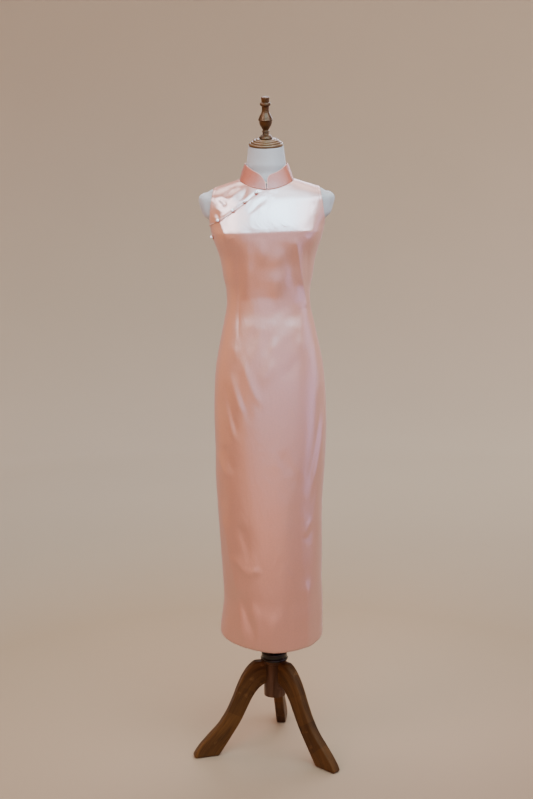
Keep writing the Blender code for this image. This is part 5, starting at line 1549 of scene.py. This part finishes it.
def turnPiece(name, rows, segments, centre, lean=0.0, bevel=0.0004):
    # a circle, extruded and resized step by step up the profile; one that ends where it starts has a bore
    profile = finerProfile(rows)
    bpy.ops.object.select_all(action="DESELECT")
    radius, low = profile[0]
    place = (0, 0, low)
    bpy.ops.mesh.primitive_circle_add(vertices=segments, radius=radius, fill_type="NOTHING", location=place)
    obj = bpy.context.object
    obj.name = obj.data.name = name
    applyPlaces(obj)
    editAll()
    extrudeProfile(profile)
    bpy.ops.mesh.select_all(action="SELECT")
    bpy.ops.mesh.remove_doubles(threshold=0.000002)
    bpy.ops.mesh.select_all(action="SELECT")
    bpy.ops.mesh.fill_holes(sides=segments)
    turnFacesOut()
    finishEdges(obj, bevel, angle=40)
    obj.rotation_euler.x = lean
    obj.location = Vector(centre) + Vector(column)
    applyPlaces(obj)
    return obj


def finishEdges(obj, width, angle, segments=2):
    selectOnly(obj)
    if width:
        edge = obj.modifiers.new("rounded", "BEVEL")
        edge.width = width
        edge.segments = segments
        edge.limit_method = "ANGLE"
        edge.angle_limit = math.radians(angle)
        bpy.ops.object.modifier_apply(modifier="rounded")
    bpy.ops.object.shade_smooth_by_angle(angle=smoothAngle)


def finishPiece(obj, material, body, node):
    obj.data.materials.clear()
    obj.data.materials.append(material)
    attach(obj, body)
    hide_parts(node)


neckCap = {
    "seat": 0.0003,  # above the neck's top
    "segments": 96,
    "rows": (
        (0.0440, 0.0000), (0.0442, 0.0010, 4), (0.0448, 0.0040, 4), (0.0436, 0.0066, 3), (0.0412, 0.0076),
        (0.0392, 0.0064), (0.0391, 0.0078, 4), (0.0394, 0.0098, 4), (0.0380, 0.0116, 3), (0.0354, 0.0122),
        (0.0334, 0.0110), (0.0333, 0.0124, 4), (0.0332, 0.0142, 4), (0.0316, 0.0157, 3), (0.0286, 0.0160),
        (0.0266, 0.0150), (0.0264, 0.0162, 3), (0.0252, 0.0176, 3), (0.0220, 0.0182), (0.0150, 0.0175),
    ),
}
finial = {
    "seat": 0.0181,
    "segments": 64,
    "rows": (
        (0.0150, 0.0000), (0.0168, 0.0010, 4), (0.0171, 0.0030, 5), (0.0140, 0.0076, 4), (0.0085, 0.0112),
        (0.0078, 0.0128, 4), (0.0089, 0.0146, 4), (0.0080, 0.0166), (0.0080, 0.0176, 4), (0.0103, 0.0192, 4),
        (0.0084, 0.0212), (0.0074, 0.0224, 5), (0.0112, 0.0292, 6), (0.0150, 0.0362, 6), (0.0168, 0.0450),
        (0.0172, 0.0462), (0.0186, 0.0474, 3), (0.0187, 0.0494), (0.0180, 0.0504, 6), (0.0150, 0.0580, 6),
        (0.0112, 0.0652, 6), (0.0092, 0.0730, 5), (0.0097, 0.0826), (0.0112, 0.0834, 5), (0.0140, 0.0864, 5),
        (0.0130, 0.0912), (0.0098, 0.0924, 3), (0.0102, 0.0970, 3), (0.0107, 0.1042), (0.0101, 0.1056),
        (0.0088, 0.1062),
    ),
}
stand = {
    "hub": (
        (0.0145, 0.1590), (0.0262, 0.1590), (0.0288, 0.1606, 3), (0.0297, 0.1640), (0.0297, 0.2440, 4),
        (0.0312, 0.2510, 4), (0.0346, 0.2562), (0.0352, 0.2600), (0.0145, 0.2600), (0.0145, 0.1590),
    ),
    "ring": (
        (0.0145, 0.2603), (0.0350, 0.2603), (0.0372, 0.2616, 5), (0.0380, 0.2640, 5), (0.0372, 0.2664),
        (0.0350, 0.2674), (0.0344, 0.2684, 3), (0.0351, 0.2700), (0.0351, 0.2786, 4), (0.0334, 0.2815),
        (0.0240, 0.2825), (0.0145, 0.2825), (0.0145, 0.2603),
    ),
    "pole": ((0.0130, 0.1640), (0.0140, 0.1650), (0.0140, 0.7180), (0.0130, 0.7190)),
    "plate": (
        (0.0145, 0.7195), (0.0145, 0.7000), (0.0236, 0.7000), (0.0240, 0.7006), (0.0240, 0.7215, 3),
        (0.0256, 0.7230), (0.0700, 0.7230), (0.0715, 0.7245), (0.0715, 0.7335), (0.0704, 0.7347),
    ),
}
legs = {
    "bearings": (194, 314, 84),  # wearer's right, wearer's left, back
    "thickness": 0.027,
    "rounding": 0.0050,
    "stations": 44,
    # the board's upper and lower edges seen from its side, as reach from the column and height
    "upper": (
        (0.024, 0.2560), (0.038, 0.2590), (0.052, 0.2590), (0.070, 0.2480), (0.088, 0.2260), (0.104, 0.1960),
        (0.119, 0.1600), (0.137, 0.1230), (0.161, 0.0880), (0.189, 0.0600), (0.214, 0.0340), (0.231, 0.0110),
        (0.234, 0.0030), (0.231, 0.0000),
    ),
    "under": (
        (0.024, 0.1970), (0.034, 0.1930), (0.048, 0.1830), (0.066, 0.1600), (0.082, 0.1300), (0.102, 0.0920),
        (0.125, 0.0570), (0.147, 0.0250), (0.165, 0.0000),
    ),
    "seatGap": 0.0003,
    "seatHeights": (0.139, 0.240, 0.280),
    "hubBore": 0.02,  # the hub's profile inside this is its bore
    "timber": (0.61, 0.17),  # how far along and across the timber each next leg is cut
}


def alongEdge(rows, shares):
    # points along a smooth curve through the rows, by share of its length
    places = np.array(rows)
    steps = lengthsAlong(places)
    where = np.asarray(shares) * steps[-1]
    return np.stack([curveThrough(steps, places[:, k])(where) for k in (0, 1)], axis=-1)


def makeSeatCutter():
    # the hub's side grown by the gap, which hollows the legs' inner ends
    bottom, flare, top = legs["seatHeights"]
    gap = legs["seatGap"]
    hub = finerProfile(stand["hub"])
    side = [(radius + gap, z) for radius, z in hub if z >= flare and radius > legs["hubBore"]]
    rows = [(side[0][0], bottom), *side, (side[-1][0], top)]
    return turnPiece("seatCutter", rows, 96, -column, bevel=0.0)


def makeLegBoard():
    s = legs
    shares = np.linspace(0, 1, s["stations"] + 1)
    upper, under = alongEdge(s["upper"], shares), alongEdge(s["under"], shares)
    bpy.ops.object.select_all(action="DESELECT")
    bpy.ops.mesh.primitive_plane_add(size=0.02, location=(0, 0, 0))
    leg = bpy.context.object
    leg.name = leg.data.name = "leg1"

    def choose(*indices):
        bpy.ops.object.mode_set(mode="OBJECT")
        for part in (*leg.data.polygons, *leg.data.edges):
            part.select = all(index in indices for index in part.vertices)
        for vertex in leg.data.vertices:
            vertex.select = vertex.index in indices
        bpy.ops.object.mode_set(mode="EDIT")

    def put(index, place):
        choose(index)
        here = leg.data.vertices[index].co
        there = Vector((place[0], -s["thickness"] / 2, place[1]))
        bpy.ops.transform.translate(value=there - here)

    # one edge of the plane is the board's inner end, and the other two corners go
    choose(2, 3)
    bpy.ops.mesh.delete(type="VERT")
    for station in range(s["stations"] + 1):
        if station:
            choose(2 * station - 2, 2 * station - 1)
            bpy.ops.mesh.extrude_edges_move(TRANSFORM_OT_translate={"value": (0, 0, 0)})
        put(2 * station, under[station])
        put(2 * station + 1, upper[station])
    bpy.ops.mesh.select_all(action="SELECT")
    bpy.ops.mesh.extrude_region_move(TRANSFORM_OT_translate={"value": (0, s["thickness"], 0)})
    turnFacesOut()
    finishEdges(leg, s["rounding"], angle=50, segments=4)
    cutter = makeSeatCutter()
    selectOnly(leg)
    cut = leg.modifiers.new("hubSeat", "BOOLEAN")
    cut.object = cutter
    cut.solver = "EXACT"
    bpy.ops.object.modifier_apply(modifier="hubSeat")
    bpy.data.objects.remove(cutter, do_unlink=True)
    # where the wood's grain runs: along the board, across it and through it
    places = np.array([vertex.co for vertex in leg.data.vertices])
    middle = (upper + under) / 2
    steps = lengthsAlong(middle)
    away = np.linalg.norm(places[:, None, [0, 2]] - middle[None], axis=2)
    near = away.argmin(axis=1)
    ahead = unit(np.gradient(middle, axis=0))
    offset = places[:, [0, 2]] - middle[near]
    along = steps[near] + (offset * ahead[near]).sum(axis=1)
    across = offset[:, 0] * -ahead[near, 1] + offset[:, 1] * ahead[near, 0]
    board = leg.data.attributes.new("board", "FLOAT_VECTOR", "POINT")
    values = np.stack([along, across, places[:, 1]], axis=-1)
    board.data.foreach_set("vector", values.astype(np.float32).ravel())
    leg.data.materials.clear()
    leg.data.materials.append(legWood)
    bpy.ops.object.shade_smooth_by_angle(angle=smoothAngle)
    return leg


def makeLegs():
    first = makeLegBoard()
    boards = [first]
    for number in (2, 3):
        copy = copyOf(first)
        copy.name = copy.data.name = f"leg{number}"
        boards.append(copy)
        # each leg is cut from its own stretch of timber
        values = np.empty(3 * len(copy.data.vertices), np.float32)
        board = copy.data.attributes["board"]
        board.data.foreach_get("vector", values)
        shift = np.array((*legs["timber"], 0.0)) * number
        board.data.foreach_set("vector", values + np.tile(shift, len(values) // 3))
    for number, (leg, bearing) in enumerate(zip(boards, legs["bearings"]), 1):
        leg.location = Vector(column)
        leg.rotation_euler.z = math.radians(bearing)
        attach(leg, "stand")
        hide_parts(f"leg_{number}")
    applyPlaces(*boards)
    print("legs")


def makeTurnedPieces():
    tilt = math.radians(form["capTilt"])
    for name, settings, wood, node, slot in (
        ("neckCap", neckCap, capWood, "neck_cap", "cap_wood"),
        ("finial", finial, finialWood, "finial", "dark_wood"),
    ):
        up = settings["seat"]
        seat = (0.0, form["neckTopY"] - math.sin(tilt) * up, form["heights"][2] + math.cos(tilt) * up)
        piece = turnPiece(name, settings["rows"], settings["segments"], seat, lean=tilt, bevel=0.0003)
        finishPiece(piece, wood, "form", node)
    for name, part, segments, material, body, node, slot in (
        ("hub", "hub", 96, hubWood, "stand", "hub", "dark_wood"),
        ("clampRing", "ring", 96, ringLacquer, "stand", "clamp_ring", "dark_wood"),
        ("pole", "pole", 64, polePaint, "pole", "pole", "pole_steel"),
        ("basePlate", "plate", 96, polePaint, "form", "base_plate", "pole_steel"),
    ):
        finishPiece(turnPiece(name, stand[part], segments, (0, 0, 0)), material, body, node)
    print("turned pieces")


makeFront()
makeBack()
makeUnder()
makeCollar()
makeHookAndEye()
makeButtons()
makeStitches()
makeForm()
makeTurnedPieces()
makeLegs()
